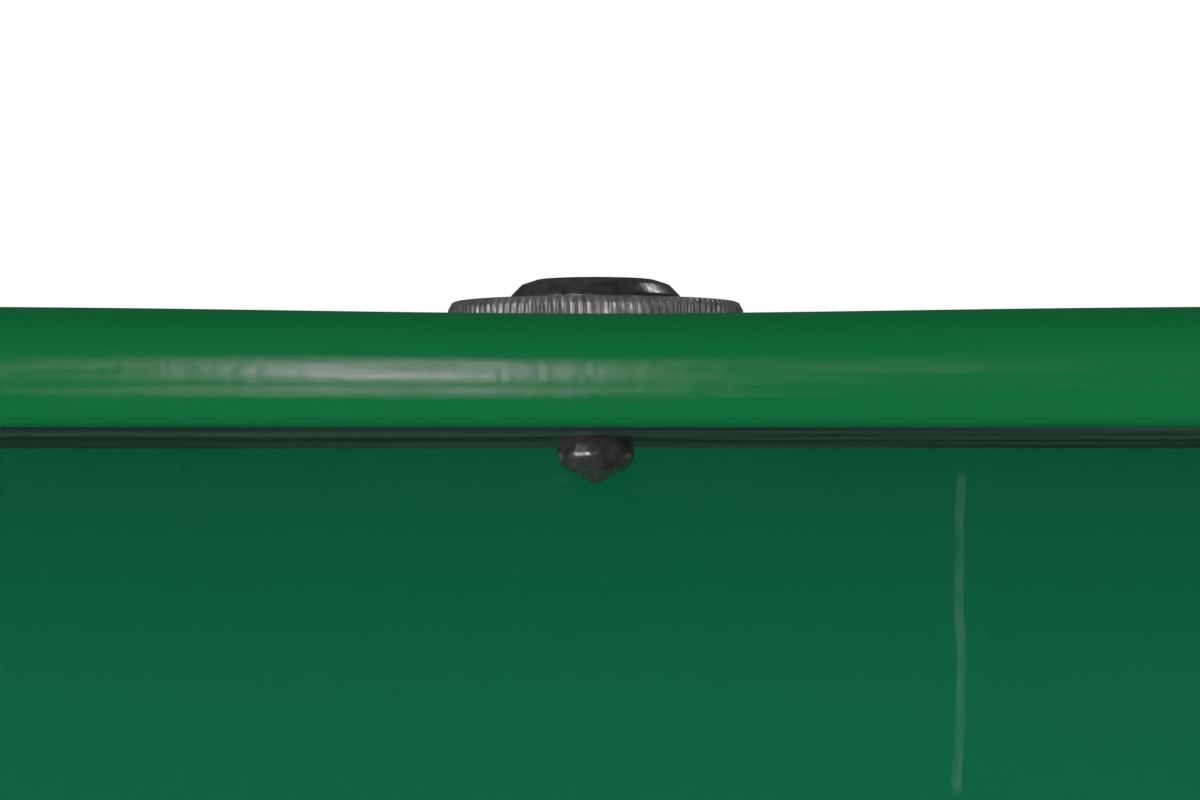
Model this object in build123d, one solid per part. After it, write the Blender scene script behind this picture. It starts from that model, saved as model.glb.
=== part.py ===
from build123d import *
import math
import os

# Coin-operated newspaper vending box on a pedestal. Millimetres, +Z up, the front faces -Y.
# The origin is on the ground, at the middle of the object's outline seen from above.

# Overall sizes
height = 1250.0
cabinet_width = 480.0
cabinet_depth = 380.0
cabinet_bottom = 400.0
hood_reach = 43.0
eaves = 8.0

# Sheet metal
sheet = 2.0
thin_sheet = 1.5
bend_radius = 4.0
front_flange = 18.0
seat_gap = 0.3
swing_gap = 3.0
door_swing = 50.0

# Roof rim
rim_height = 9.1
rim_top_radius = 2.6
rim_bottom_radius = 1.4
front_return = 3.0
roof_corner_radius = 12.0

# Blind rivets that clamp the underplate to the hood
hood_rivet_setback = 21.0
hood_rivet_pitch = 170.0
washer_radius = 12.0
washer_thickness = 1.8
washer_teeth = 110
tooth_depth = 0.28
rivet_head_radius = 7.0
rivet_head_top_radius = 4.6
rivet_head_height = 1.85
rivet_shank_radius = 2.4
rivet_tail_radius = 3.15
rivet_tail_height = 2.7
mandrel_radius = 2.0
mandrel_height = 1.1
spacer_radius = 5.0

# Front face, from the hood down
header_height = 170.0
header_return = 24.0
door_height = 410.0
door_gap = 4.0
hinge_setback = 10.0
sill_drop = 0.5

# Door
door_flange = 20.0
window_side_margin = 50.0
window_bottom_margin = 64.0
window_top_margin = 72.0
window_corner_radius = 18.0
pane_thickness = 3.0
pane_overlap = 8.0
gasket_thickness = 2.5
gasket_lip = 3.0
gasket_proud = 0.6
retainer_width = 18.0
retainer_nut_radius = 3.5
handle_span = 130.0
handle_radius = 6.0
handle_reach = 32.0
handle_drop = 34.0
wing_radius = 150.0
stop_tab_width = 11.0

# Door hinge and springs
rod_radius = 3.0
running_gap = 0.05
bracket_thickness = 3.0
spring_wire = 2.0
spring_mean_radius = 6.0
spring_turns = 8
spring_leg = 18.0

# Display bail on the inside of the door
bail_wire_radius = 2.0
bail_margin = 18.0
bail_height = 230.0

# Shelf and sill
shelf_lip = 11.0
shelf_bracket_height = 25.0

# Rack card frame on the lower front
card_frame_width = 380.0
card_frame_height = 210.0
card_frame_depth = 6.0
card_frame_border = 15.0
card_thickness = 1.0
cover_thickness = 1.5

# Coin mechanism behind the header
faceplate_width = 104.0
faceplate_height = 142.0
faceplate_thickness = 3.0
faceplate_margin = 10.0
faceplate_drop = 18.0
chassis_width = 96.0
chassis_depth = 106.0
coin_slot_length = 28.0
coin_slot_width = 3.0
button_radius = 8.0
button_travel = 5.0
button_stem_radius = 4.0
shaft_radius = 2.5
cup_width = 46.0
cup_height = 36.0
cup_depth = 32.0
cup_wall = 1.5

# Cash drawer in the right side
drawer_length = 104.0
drawer_height = 54.0
drawer_depth = 110.0
drawer_lip = 7.0
lock_zone = 10.5
lock_plug_radius = 6.5
lock_body_radius = 9.0
cam_length = 34.0

# Pedestal
base_width = 420.0
base_depth = 340.0
base_thickness = 8.0
base_corner_radius = 25.0
anchor_pitch_x = 360.0
anchor_pitch_y = 280.0
anchor_hole_radius = 7.0
column_side = 120.0
column_wall = 3.0
column_corner_radius = 8.0
cap_width = 260.0
cap_depth = 220.0
cap_thickness = 8.0
cap_pitch_x = 200.0
cap_pitch_y = 160.0
column_bolt_radius = 5.0
gusset_reach = 62.0
gusset_height = 95.0
gusset_thickness = 6.0
eye_wire_radius = 4.0
eye_span = 40.0
eye_reach = 36.0
eye_height = 330.0

# Planes that follow from the sizes above
roof_width = cabinet_width + 2 * eaves
roof_depth = hood_reach + cabinet_depth + eaves
lip_y = -roof_depth / 2
front_y = lip_y + hood_reach
back_y = roof_depth / 2 - eaves
middle_y = (front_y + back_y) / 2
panel_y = front_y + sheet
inside_front_y = panel_y + sheet
half_width = cabinet_width / 2
inner_half = half_width - sheet
panel_half = half_width - bend_radius
opening_half = half_width - front_flange
rim_z = height - rim_height
top_inner_z = height - thin_sheet
header_z = rim_z - header_height
door_top_z = header_z - door_gap
axis_z = door_top_z - door_height + 1.0
axis_y = front_y + hinge_setback
knuckle_radius = hinge_setback - sheet
door_bottom_z = axis_z - 1.0
sill_z = axis_z - knuckle_radius - sill_drop
shelf_top_z = axis_z - 2.0
door_half = opening_half - swing_gap
door_back_y = front_y + door_flange
column_top_z = cabinet_bottom - cap_thickness
window_low_z = door_bottom_z + window_bottom_margin
window_high_z = door_top_z - window_top_margin
window_half = door_half - window_side_margin
mech_x = opening_half - faceplate_margin - faceplate_width / 2
mech_top_z = rim_z - faceplate_drop
mech_z = mech_top_z - faceplate_height / 2
drawer_y = inside_front_y + chassis_depth + 6.0
drawer_z = header_z + 15.0


def block(x0, x1, y0, y1, z0, z1):
    """A box between two opposite corners."""
    size = Box(abs(x1 - x0), abs(y1 - y0), abs(z1 - z0))
    return Pos((x0 + x1) / 2, (y0 + y1) / 2, (z0 + z1) / 2) * size


def rod_x(radius, x0, x1, y, z):
    """A cylinder along X."""
    return Pos((x0 + x1) / 2, y, z) * Rot(0, 90, 0) * Cylinder(radius, abs(x1 - x0))


def rod_y(radius, y0, y1, x, z):
    """A cylinder along Y."""
    return Pos(x, (y0 + y1) / 2, z) * Rot(90, 0, 0) * Cylinder(radius, abs(y1 - y0))


def rod_z(radius, z0, z1, x, y):
    """A cylinder along Z."""
    return Pos(x, y, (z0 + z1) / 2) * Cylinder(radius, abs(z1 - z0))


def rounded_plate(x0, x1, z0, z1, y0, y1, radius):
    """An upright plate facing -Y with rounded corners."""
    outline = RectangleRounded(x1 - x0, z1 - z0, radius)
    plate = extrude(Plane.XZ * outline, y1 - y0)
    return Pos((x0 + x1) / 2, y1, (z0 + z1) / 2) * plate


def side_profile(points, x0, x1):
    """A plate whose outline is given in Y and Z, standing between two X planes."""
    outline = make_face(Polyline(*[(y, z) for y, z in points], close=True))
    return Pos(x0, 0, 0) * extrude(Plane.YZ * outline, x1 - x0)


def mirrored(shape):
    """The same shape on both sides of the YZ plane."""
    return Compound(children=[*shape.solids(), *mirror(shape, Plane.YZ).solids()])


def group(shapes):
    """Separate solids that share one node."""
    return Compound(children=[solid for shape in shapes for solid in shape.solids()])


def channel_outline(outer_half, flange, y0, y1, outer_radius):
    """Plan outline of a side panel: a web with a flange at the front and back."""
    points = [
        (outer_half - flange, y0), (outer_half, y0), (outer_half, y1), (outer_half - flange, y1),
        (outer_half - flange, y1 - sheet), (outer_half - sheet, y1 - sheet),
        (outer_half - sheet, y0 + sheet), (outer_half - flange, y0 + sheet),
    ]
    face = make_face(Polyline(*points, close=True))
    face = fillet([v for v in face.vertices() if abs(v.X - outer_half) < 1e-6], outer_radius)
    inner = [v for v in face.vertices() if abs(v.X - outer_half + sheet) < 1e-6]
    return fillet(inner, outer_radius - sheet)


# Pedestal

def anchor_points(pitch_x, pitch_y):
    """Centres of four holes on a rectangle under the cabinet's middle."""
    return [(i * pitch_x / 2, middle_y + j * pitch_y / 2) for i in (-1, 1) for j in (-1, 1)]


def base_plate():
    plate = extrude(RectangleRounded(base_width, base_depth, base_corner_radius), base_thickness)
    plate = chamfer(plate.edges().group_by(Axis.Z)[-1], 1.5)
    plate = Pos(0, middle_y, 0) * plate
    for x, y in anchor_points(anchor_pitch_x, anchor_pitch_y):
        plate -= rod_z(anchor_hole_radius, -1, base_thickness + 1, x, y)
    return plate


def column():
    outer = RectangleRounded(column_side, column_side, column_corner_radius)
    bore = column_side - 2 * column_wall
    inner = RectangleRounded(bore, bore, column_corner_radius - column_wall)
    tube = extrude(outer - inner, column_top_z - base_thickness)
    return Pos(0, middle_y, base_thickness) * tube


def base_gussets():
    """Four welded triangles between the column's faces and the base plate."""
    face = column_side / 2
    toe = 12.0
    outline = make_face(Polyline(
        (face, base_thickness), (face + gusset_reach, base_thickness),
        (face + gusset_reach, base_thickness + toe), (face + toe, base_thickness + gusset_height),
        (face, base_thickness + gusset_height), close=True))
    web = Pos(0, gusset_thickness / 2, 0) * extrude(Plane.XZ * outline, gusset_thickness)
    return group([Pos(0, middle_y, 0) * Rot(0, 0, 90 * i) * web for i in range(4)])


def column_cap():
    cap = extrude(RectangleRounded(cap_width, cap_depth, 10), cap_thickness)
    cap = Pos(0, middle_y, column_top_z) * cap
    for x, y in anchor_points(cap_pitch_x, cap_pitch_y):
        cap -= rod_z(column_bolt_radius + 0.5, column_top_z - 1, cabinet_bottom + 1, x, y)
    return cap


nut_height = 8.0
nut_radius = 9.2
bolt_head_height = 6.4
floor_z = cabinet_bottom + sheet


def column_bolts():
    """Hex bolts that pass up through the cap plate and the cabinet floor."""
    bolts = []
    for x, y in anchor_points(cap_pitch_x, cap_pitch_y):
        head = extrude(RegularPolygon(nut_radius, 6), bolt_head_height)
        shank = rod_z(column_bolt_radius, column_top_z, floor_z + nut_height + 4, x, y)
        bolts.append(Pos(x, y, column_top_z - bolt_head_height) * head + shank)
    return group(bolts)


def column_nuts():
    """Flange nuts on the cabinet floor."""
    flange = 1.6
    nut = extrude(RegularPolygon(nut_radius, 6), nut_height) + rod_z(nut_radius + 1.5, 0, flange, 0, 0)
    nut -= rod_z(column_bolt_radius + running_gap, -1, nut_height + 1, 0, 0)
    return group([Pos(x, y, floor_z) * nut for x, y in anchor_points(cap_pitch_x, cap_pitch_y)])


def chain_eye():
    """A bent rod welded to the back of the column, for a chain or padlock."""
    back = middle_y + column_side / 2
    half = eye_span / 2
    path = FilletPolyline(
        (-half, back, eye_height), (-half, back + eye_reach, eye_height),
        (half, back + eye_reach, eye_height), (half, back, eye_height), radius=14)
    return sweep(Plane((-half, back, eye_height), z_dir=(0, 1, 0)) * Circle(eye_wire_radius), path)


# Cabinet shell

back_rivet_head = 4.5
back_rivet_shank = 2.0
back_rivet_count = 7
screw_shank = 2.5


def back_rivet_places():
    """Heights of the rivets along each rear flange."""
    low = cabinet_bottom + 40
    pitch = (rim_z - 40 - low) / (back_rivet_count - 1)
    return [low + i * pitch for i in range(back_rivet_count)]


def roof_screw_places():
    """Depth and height of the screws through each roof angle."""
    return [(y, top_inner_z - 17) for y in (inside_front_y + 70, middle_y, back_y - 80)]


def shelf_screw_places():
    """Depth and height of the screws through each shelf bracket."""
    return [(y, shelf_top_z - thin_sheet - 15) for y in (axis_y + 70, middle_y, back_y - 60)]


def drill_sides(shape, places):
    """Holes through a side wall and what lies behind it, on both sides."""
    for y, z in places:
        shape -= rod_x(screw_shank + running_gap, -half_width - 1, half_width + 1, y, z)
    return shape


def drill_back(shape):
    """Rivet holes through the rear flanges and the back panel."""
    for x in (-half_width + front_flange / 2, half_width - front_flange / 2):
        for z in back_rivet_places():
            shape -= rod_y(back_rivet_shank + running_gap, back_y - 2 * sheet - 1, back_y + 1, x, z)
    return shape


def side_panel(side):
    """Left or right wall, folded to a front and a back flange."""
    outline = channel_outline(half_width, front_flange, front_y, back_y, bend_radius)
    panel = Pos(0, 0, cabinet_bottom) * extrude(outline, top_inner_z - cabinet_bottom)
    panel = drill_sides(drill_back(panel), roof_screw_places() + shelf_screw_places())
    if side > 0:
        clear = 1.0
        panel -= block(inner_half - 1, half_width + 1, drawer_y - clear, drawer_y + drawer_length + clear,
                       drawer_z - clear, drawer_z + drawer_height + clear)
        return panel
    return mirror(panel, Plane.YZ)


def cabinet_floor():
    """The bottom pan, with upturned flanges at the front and back."""
    y0 = inside_front_y
    y1 = back_y - 2 * sheet
    pan = block(-inner_half, inner_half, y0, y1, cabinet_bottom, floor_z)
    pan += block(-inner_half, inner_half, y0, y0 + sheet, cabinet_bottom, floor_z + 20)
    pan += block(-inner_half, inner_half, y1 - sheet, y1, cabinet_bottom, floor_z + 20)
    for x, y in anchor_points(cap_pitch_x, cap_pitch_y):
        pan -= rod_z(column_bolt_radius + 0.5, cabinet_bottom - 1, floor_z + 1, x, y)
    return pan


def back_panel():
    panel = block(-panel_half, panel_half, back_y - 2 * sheet, back_y - sheet, cabinet_bottom, top_inner_z)
    return drill_back(panel)


def back_panel_rivets():
    """Dome-headed rivets through the rear flanges and the back panel."""
    sphere_radius = 6.5
    dome_height = sphere_radius - math.sqrt(sphere_radius**2 - back_rivet_head**2)
    dome = Pos(0, 0, dome_height - sphere_radius) * Sphere(sphere_radius)
    dome &= Pos(0, 0, dome_height / 2) * Cylinder(back_rivet_head + 1, dome_height)
    tail = rod_z(3.0, -2 * sheet - 1.2, -2 * sheet, 0, 0)
    rivet = dome + rod_z(back_rivet_shank, -2 * sheet, 0, 0, 0) + tail
    rivet = Rot(-90, 0, 0) * rivet
    x = half_width - front_flange / 2
    one_side = group([Pos(x, back_y, z) * rivet for z in back_rivet_places()])
    return mirrored(one_side)


def roof_cover():
    """The pressed top: a shallow pan with a rounded rim that reaches forward as a hood."""
    body = extrude(RectangleRounded(roof_width, roof_depth, roof_corner_radius), rim_height)
    body = fillet(body.edges().group_by(Axis.Z)[-1], rim_top_radius)
    body = fillet(body.edges().group_by(Axis.Z)[0], rim_bottom_radius)
    inside = extrude(
        RectangleRounded(roof_width - 2 * thin_sheet, roof_depth - 2 * thin_sheet,
                         roof_corner_radius - thin_sheet),
        rim_height - 2 * thin_sheet)
    inside = fillet(inside.edges().group_by(Axis.Z)[-1], rim_top_radius - thin_sheet)
    body -= Pos(0, 0, thin_sheet) * inside
    body -= block(-half_width, half_width, lip_y + front_return, back_y, -1, thin_sheet + 0.5)
    body = Pos(0, 0, rim_z) * body
    for x in hood_rivet_places():
        body -= rod_z(rivet_shank_radius + 0.1, top_inner_z - 1, height + 1, x, lip_y + hood_rivet_setback)
    return body


def hood_rivet_places():
    return [i * hood_rivet_pitch for i in (-1, 0, 1)]


def hood_underplate():
    """Dark steel bar that closes the hood from below and stiffens its lip."""
    side_gap = 0.3
    bar = block(-half_width + side_gap, half_width - side_gap, lip_y + front_return + 0.2, front_y,
                rim_z, rim_z + sheet)
    bar += block(-opening_half, opening_half, front_y, panel_y, rim_z, rim_z + sheet)
    for x in hood_rivet_places():
        bar -= rod_z(rivet_shank_radius + 0.1, rim_z - 1, rim_z + sheet + 1, x, lip_y + hood_rivet_setback)
    return bar


def hood_rivets():
    """Blind rivets: low head above, set tail with the mandrel's end below."""
    head_z = height + washer_thickness
    head = Pos(0, 0, head_z + rivet_head_height / 2) * Cone(
        rivet_head_radius, rivet_head_top_radius, rivet_head_height)
    head = fillet(head.edges().group_by(Axis.Z)[-1], 0.5)
    shank = rod_z(rivet_shank_radius, rim_z, head_z, 0, 0)
    tail = Pos(0, 0, rim_z - rivet_tail_height / 2) * Cylinder(rivet_tail_radius, rivet_tail_height)
    tail = fillet(tail.edges().group_by(Axis.Z)[0], 1.2)
    tail = fillet(tail.edges().group_by(Axis.Z)[-1], 0.4)
    tip_z = rim_z - rivet_tail_height - mandrel_height / 2
    tip = Pos(0, 0, tip_z) * Cone(0.5, mandrel_radius, mandrel_height)
    rivet = head + shank + tail + tip
    return group([Pos(x, lip_y + hood_rivet_setback, 0) * rivet for x in hood_rivet_places()])


def hood_rivet_washers():
    """Straight-knurled washers under the rivet heads."""
    step = 2 * math.pi / washer_teeth
    points = []
    for i in range(washer_teeth):
        for part, radius in ((0.0, washer_radius), (0.5, washer_radius - tooth_depth)):
            angle = (i + part) * step
            points.append((radius * math.cos(angle), radius * math.sin(angle)))
    disc = extrude(make_face(Polyline(*points, close=True)), washer_thickness)
    bevel = Cone(washer_radius, washer_radius - 0.35, 0.35)
    body = rod_z(washer_radius, 0, washer_thickness - 0.35, 0, 0)
    disc &= body + Pos(0, 0, washer_thickness - 0.175) * bevel
    disc -= rod_z(rivet_shank_radius + 0.1, -1, washer_thickness + 1, 0, 0)
    return group([Pos(x, lip_y + hood_rivet_setback, height) * disc for x in hood_rivet_places()])


def rivet_spacers():
    """Tubes that keep the hood from crushing between its skin and the underplate."""
    tube = extrude(Circle(spacer_radius) - Circle(rivet_shank_radius + 0.1), rim_height - thin_sheet - sheet)
    return group([Pos(x, lip_y + hood_rivet_setback, rim_z + sheet) * tube for x in hood_rivet_places()])


roof_angle_leg = 25.0


def roof_angles():
    """Angles welded under the roof and bolted to the side walls."""
    y0, y1 = inside_front_y + 30, back_y - 40
    web = block(inner_half - sheet, inner_half, y0, y1, top_inner_z - roof_angle_leg, top_inner_z)
    foot = block(inner_half - roof_angle_leg, inner_half, y0, y1, top_inner_z - sheet, top_inner_z)
    return drill_sides(mirrored(web + foot), roof_screw_places())


def wall_screws():
    """Dome screws from outside that hold the roof's angles and the shelf's brackets, with nuts."""
    screws = []
    for y, z in roof_screw_places() + shelf_screw_places():
        head = Pos(half_width + 1.1, y, z) * Rot(0, 90, 0) * Cone(5.5, 3.6, 2.2)
        shank = rod_x(screw_shank, inner_half - sheet, half_width, y, z)
        nut = Pos(inner_half - sheet - 4, y, z) * Rot(0, 90, 0) * extrude(RegularPolygon(4.6, 6), 4)
        screws.append(head + shank + nut)
    return mirrored(group(screws))


latch_x = mech_x + 36.0
latch_slot = (front_y + 5.5, front_y + 16.0)
bumper_x = 110.0


def header_panel():
    """Fixed front above the door, with a return flange and two tabs for the door's bumpers."""
    panel = block(-panel_half, panel_half, panel_y, inside_front_y, header_z, top_inner_z)
    edge = panel_y + header_return
    panel += block(-opening_half, opening_half, panel_y, edge, header_z, header_z + sheet)
    for side in (-1, 1):
        x = side * bumper_x
        panel += block(x - 10, x + 10, edge - sheet, edge, door_top_z - 18, header_z + sheet)
    inset = 7.0
    panel -= block(mech_x - faceplate_width / 2 + inset, mech_x + faceplate_width / 2 - inset,
                   panel_y - 1, inside_front_y, mech_z - faceplate_height / 2 + inset,
                   mech_z + faceplate_height / 2 - inset)
    panel -= block(latch_x - 5, latch_x + 5, *latch_slot, header_z - 1, header_z + sheet + 1)
    return panel


def lower_panel():
    """Fixed front below the door."""
    return block(-panel_half, panel_half, panel_y, inside_front_y, cabinet_bottom, sill_z)


def sill_angle():
    """Angle behind the lower panel's top edge, drilled for the springs' fixed legs."""
    top = sill_z - 0.5
    leg = block(-inner_half, inner_half, inside_front_y, inside_front_y + sheet, top - 22, top)
    foot = block(-inner_half, inner_half, inside_front_y, axis_y + 16, top - sheet, top)
    sill = leg + foot
    for x in (-spring_x, spring_x):
        sill -= rod_z(spring_wire / 2 + 0.3, top - sheet - 1, top + 1, x, axis_y + spring_mean_radius)
    return sill


# Interior

def shelf():
    """Newspaper shelf with a low lip at its front edge."""
    top = shelf_top_z
    y0 = axis_y + 15.0
    y1 = back_y - 2 * sheet - 1.0
    tray = block(-inner_half + 2, inner_half - 2, y0, y1, top - thin_sheet, top)
    tray += block(-door_half + 8, door_half - 8, y0, y0 + thin_sheet, top - thin_sheet, top + shelf_lip)
    return tray


def shelf_brackets():
    """Angles on the side walls that carry the shelf."""
    top = shelf_top_z - thin_sheet
    y0, y1 = axis_y + 40, back_y - 20
    web = block(inner_half - sheet, inner_half, y0, y1, top - shelf_bracket_height, top)
    foot = block(inner_half - 25, inner_half, y0, y1, top - sheet, top)
    return drill_sides(mirrored(web + foot), shelf_screw_places())


# Door hinge

bracket_x = door_half + 3.5
rod_half = bracket_x + bracket_thickness + 3.0
spring_x = door_half - sheet - 4.0
spring_length = spring_turns * (spring_wire + 0.2)
spring_seat = spring_mean_radius + spring_wire / 2 + running_gap


def hinge_brackets():
    """Lugs behind the front flanges that hold the ends of the hinge rod."""
    low = sill_z + 0.5
    lug = side_profile([
        (panel_y, low), (panel_y, axis_z + 16), (axis_y + 2, axis_z + 10),
        (axis_y + 9, axis_z + 4), (axis_y + 9, low)], bracket_x, bracket_x + bracket_thickness)
    bore = rod_x(rod_radius + running_gap, bracket_x - 1, bracket_x + bracket_thickness + 1, axis_y, axis_z)
    return mirrored(lug - bore)


def hinge_rod():
    rod = rod_x(rod_radius, -rod_half, rod_half, axis_y, axis_z)
    for side in (-1, 1):
        x = side * (rod_half - 1.5)
        groove = rod_x(rod_radius + 1, x - 0.6, x + 0.6, axis_y, axis_z)
        groove -= rod_x(rod_radius - 0.6, x - 1, x + 1, axis_y, axis_z)
        rod -= groove
    return rod


def hinge_rod_clips():
    """Snap rings in the rod's end grooves."""
    ring = extrude(Circle(rod_radius + 2.6) - Circle(rod_radius - 0.55), 1.0)
    ring -= block(-1.6, 1.6, 0, 8, -1, 2)
    clip = Pos(rod_half - 2.0, axis_y, axis_z) * Rot(0, 90, 0) * ring
    return mirrored(clip)


def door_springs():
    """Torsion springs round the rod: one leg through the sill, one under the door's bottom flange."""
    pitch = spring_length / spring_turns
    coil = Helix(pitch, spring_length + pitch / 4, spring_mean_radius, lefthand=True)
    fixed_leg = Line(coil @ 0 + Vector(0, spring_leg, 0), coil @ 0)
    moving_leg = Line(coil @ 1, coil @ 1 - Vector(knuckle_radius - 0.5, 0, 0))
    path = Wire([fixed_leg.edge(), coil.edge(), moving_leg.edge()])
    profile = Plane(path @ 0, z_dir=path % 0) * Circle(spring_wire / 2)
    spring = sweep(profile, path, is_frenet=True, transition=Transition.TRANSFORMED)
    place = Plane(origin=(spring_x, axis_y, axis_z), x_dir=(0, 1, 0), z_dir=(-1, 0, 0))
    return mirrored(place * spring)


# Everything that swings with the door

def door_pan():
    """Door skin with folded edges, hinge ears and the window opening."""
    x = door_half
    skin = block(-x, x, front_y, panel_y, door_bottom_z, door_top_z)
    pan = fillet(skin.edges().group_by(Axis.Y)[0], 1.6)
    shelf_edge = axis_z + spring_seat
    for side in (-1, 1):
        pan += block(side * x, side * (x - sheet), panel_y, door_back_y, axis_z, door_top_z)
        pan += rod_x(knuckle_radius, side * x, side * (x - sheet), axis_y, axis_z)
    pan += block(-x, x, panel_y, door_back_y, door_top_z - sheet, door_top_z)
    pan += block(-x, x, panel_y, door_back_y, shelf_edge, shelf_edge + sheet)
    pan -= rounded_plate(-window_half, window_half, window_low_z, window_high_z, front_y - 1, panel_y + 0.5,
                         window_corner_radius)
    for side in (-1, 1):
        pan -= rod_x(rod_radius + running_gap, side * (x + 1), side * (x - sheet - 1), axis_y, axis_z)
        pan -= rod_y(1.7, front_y - 1, panel_y + 1, side * handle_span / 2, door_top_z - handle_drop)
    return pan - block(latch_x - 5, latch_x + 5, latch_slot[0] + 1, latch_slot[1] - 1,
                       door_top_z - sheet - 1, door_top_z + 1)


def window_ring(outer, inner, y0, y1):
    """A rounded ring round the window opening, given how far each edge lies outside it."""
    solid = rounded_plate(-window_half - outer, window_half + outer, window_low_z - outer,
                          window_high_z + outer, y0, y1, window_corner_radius + outer)
    hole = rounded_plate(-window_half - inner, window_half + inner, window_low_z - inner,
                         window_high_z + inner, y0 - 1, y1 + 1, window_corner_radius + inner)
    return solid - hole


pane_y = panel_y + gasket_thickness


def window_gasket():
    """Rubber moulding between the skin and the pane, with a lip that covers the cut edge."""
    seal = window_ring(pane_overlap + 3, -gasket_lip, panel_y, pane_y)
    lip = window_ring(0, -gasket_lip, front_y - gasket_proud, panel_y)
    return seal + lip


def window_pane():
    grow = pane_overlap
    return rounded_plate(-window_half - grow, window_half + grow, window_low_z - grow, window_high_z + grow,
                         pane_y, pane_y + pane_thickness, window_corner_radius + grow)


retainer_y = pane_y + pane_thickness


bail_z = window_high_z + 13.0
bail_y = retainer_y + thin_sheet + 7.0
bail_half = window_half - bail_margin


def window_retainer():
    """Sheet ring that clamps the pane, with two ears that the bail's ends turn in."""
    back = retainer_y + thin_sheet
    ring = window_ring(retainer_width, 0, retainer_y, back)
    for x, z in stud_places():
        ring -= rod_y(2.2, retainer_y - 1, back + 1, x, z)
    for side in (-1, 1):
        x = side * (bail_half - 9)
        ring += block(x - 4, x + 4, back, bail_y + 5, bail_z - 4.5, bail_z + 4.5)
        ring -= rod_x(bail_wire_radius + running_gap, x - 5, x + 5, bail_y, bail_z)
    return ring


def stud_places():
    """Two studs outside each edge of the pane."""
    out = (pane_overlap + retainer_width) / 2 + 1.0
    third = window_half / 2
    rise = (window_high_z - window_low_z) / 4
    mid_z = (window_low_z + window_high_z) / 2
    level = [(i * third, z) for i in (-1, 1) for z in (window_low_z - out, window_high_z + out)]
    upright = [(j * (window_half + out), mid_z + i * rise) for i in (-1, 1) for j in (-1, 1)]
    return level + upright


def retainer_studs():
    """Studs welded to the back of the skin, each with its nut."""
    studs = []
    for x, z in stud_places():
        stud = rod_y(2.0, panel_y, retainer_y + thin_sheet + 5, x, z)
        nut = extrude(Plane.XZ * RegularPolygon(retainer_nut_radius + 0.6, 6), 3.2)
        nut = Pos(x, retainer_y + thin_sheet + 3.2, z) * nut
        studs.append(stud + nut)
    return group(studs)


def door_handle():
    """Bent bar handle on the door's top rail."""
    z = door_top_z - handle_drop
    half = handle_span / 2
    out = front_y - handle_reach
    path = FilletPolyline((-half, front_y, z), (-half, out, z), (half, out, z), (half, front_y, z), radius=16)
    bar = sweep(Plane((-half, front_y, z), z_dir=(0, -1, 0)) * Circle(handle_radius), path)
    for x in (-half, half):
        bar += rod_y(handle_radius + 3.5, front_y - 2.5, front_y, x, z)
        bar -= rod_y(1.6, front_y - 9, front_y + 1, x, z)
    return bar


def handle_screws():
    """Screws from inside the door into the handle's ends."""
    screws = []
    for x in (-handle_span / 2, handle_span / 2):
        z = door_top_z - handle_drop
        head = Pos(x, panel_y + 1.4, z) * Rot(-90, 0, 0) * Cone(4.5, 3.2, 2.8)
        screws.append(head + rod_y(1.5, front_y - 8.5, panel_y, x, z))
    return group(screws)


tab_reach = (120.0, 145.0)


def door_wings():
    """Quadrant plates that close the door's sides, each with a stop tab at its tail."""
    x1 = door_half - sheet
    x0 = x1 - thin_sheet
    stop = math.degrees(math.acos(-(knuckle_radius - thin_sheet - 0.1) / tab_reach[1]))
    first, last, low, steps = stop - door_swing, 92.0, 14.0, 12
    outline = [(low, last), (low, first)]
    outline += [(wing_radius, first + (last - first) * i / steps) for i in range(steps + 1)]
    places = [(r * math.cos(math.radians(a)), r * math.sin(math.radians(a))) for r, a in outline]
    wing = side_profile([(axis_y + y, axis_z + z) for y, z in places], x0, x1)
    tab = Rot(first, 0, 0) * block(x0, x1 + stop_tab_width, *tab_reach, 0, thin_sheet)
    return mirrored(wing + Pos(0, axis_y, axis_z) * tab)


def display_bail():
    """Wire loop that hangs behind the window and holds the display copy."""
    low = bail_z - bail_height
    path = FilletPolyline(
        (-bail_half + 16, bail_y, bail_z), (-bail_half, bail_y, bail_z), (-bail_half, bail_y, low),
        (bail_half, bail_y, low), (bail_half, bail_y, bail_z), (bail_half - 16, bail_y, bail_z),
        radius=4.5)
    plane = Plane((-bail_half + 16, bail_y, bail_z), z_dir=(-1, 0, 0))
    return sweep(plane * Circle(bail_wire_radius), path)


def door_bumpers():
    """Rubber stops that the door's top flange closes against."""
    y1 = panel_y + header_return - sheet
    bumper = rod_y(6.0, door_back_y + seat_gap, y1, bumper_x, door_top_z - 5)
    return mirrored(bumper)


# Rack card frame

frame_z = (cabinet_bottom + sill_z) / 2


def card_frame():
    """Folded frame with a pocket that is open at the top."""
    half = card_frame_width / 2
    low, high = frame_z - card_frame_height / 2, frame_z + card_frame_height / 2
    body = rounded_plate(-half, half, low, high, panel_y - card_frame_depth, panel_y, 6)
    body = fillet(body.edges().group_by(Axis.Y)[0], 1.2)
    wall = 5.0
    body -= block(-half + wall, half - wall, panel_y - card_frame_depth + thin_sheet, panel_y + 1,
                  low + wall, high + 1)
    border = card_frame_border
    return body - rounded_plate(-half + border, half - border, low + border, high - border,
                                panel_y - card_frame_depth - 1, panel_y, 5)


def card_sheet(y0, y1):
    half = card_frame_width / 2 - 5.0 - seat_gap
    low = frame_z - card_frame_height / 2 + 5.0
    high = frame_z + card_frame_height / 2 - 2.0
    return block(-half, half, y0, y1, low, high)


def display_card():
    return card_sheet(panel_y - card_thickness, panel_y)


def card_cover():
    """Clear sheet in front of the card."""
    front = panel_y - card_frame_depth + thin_sheet
    return card_sheet(front, front + cover_thickness)


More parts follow.
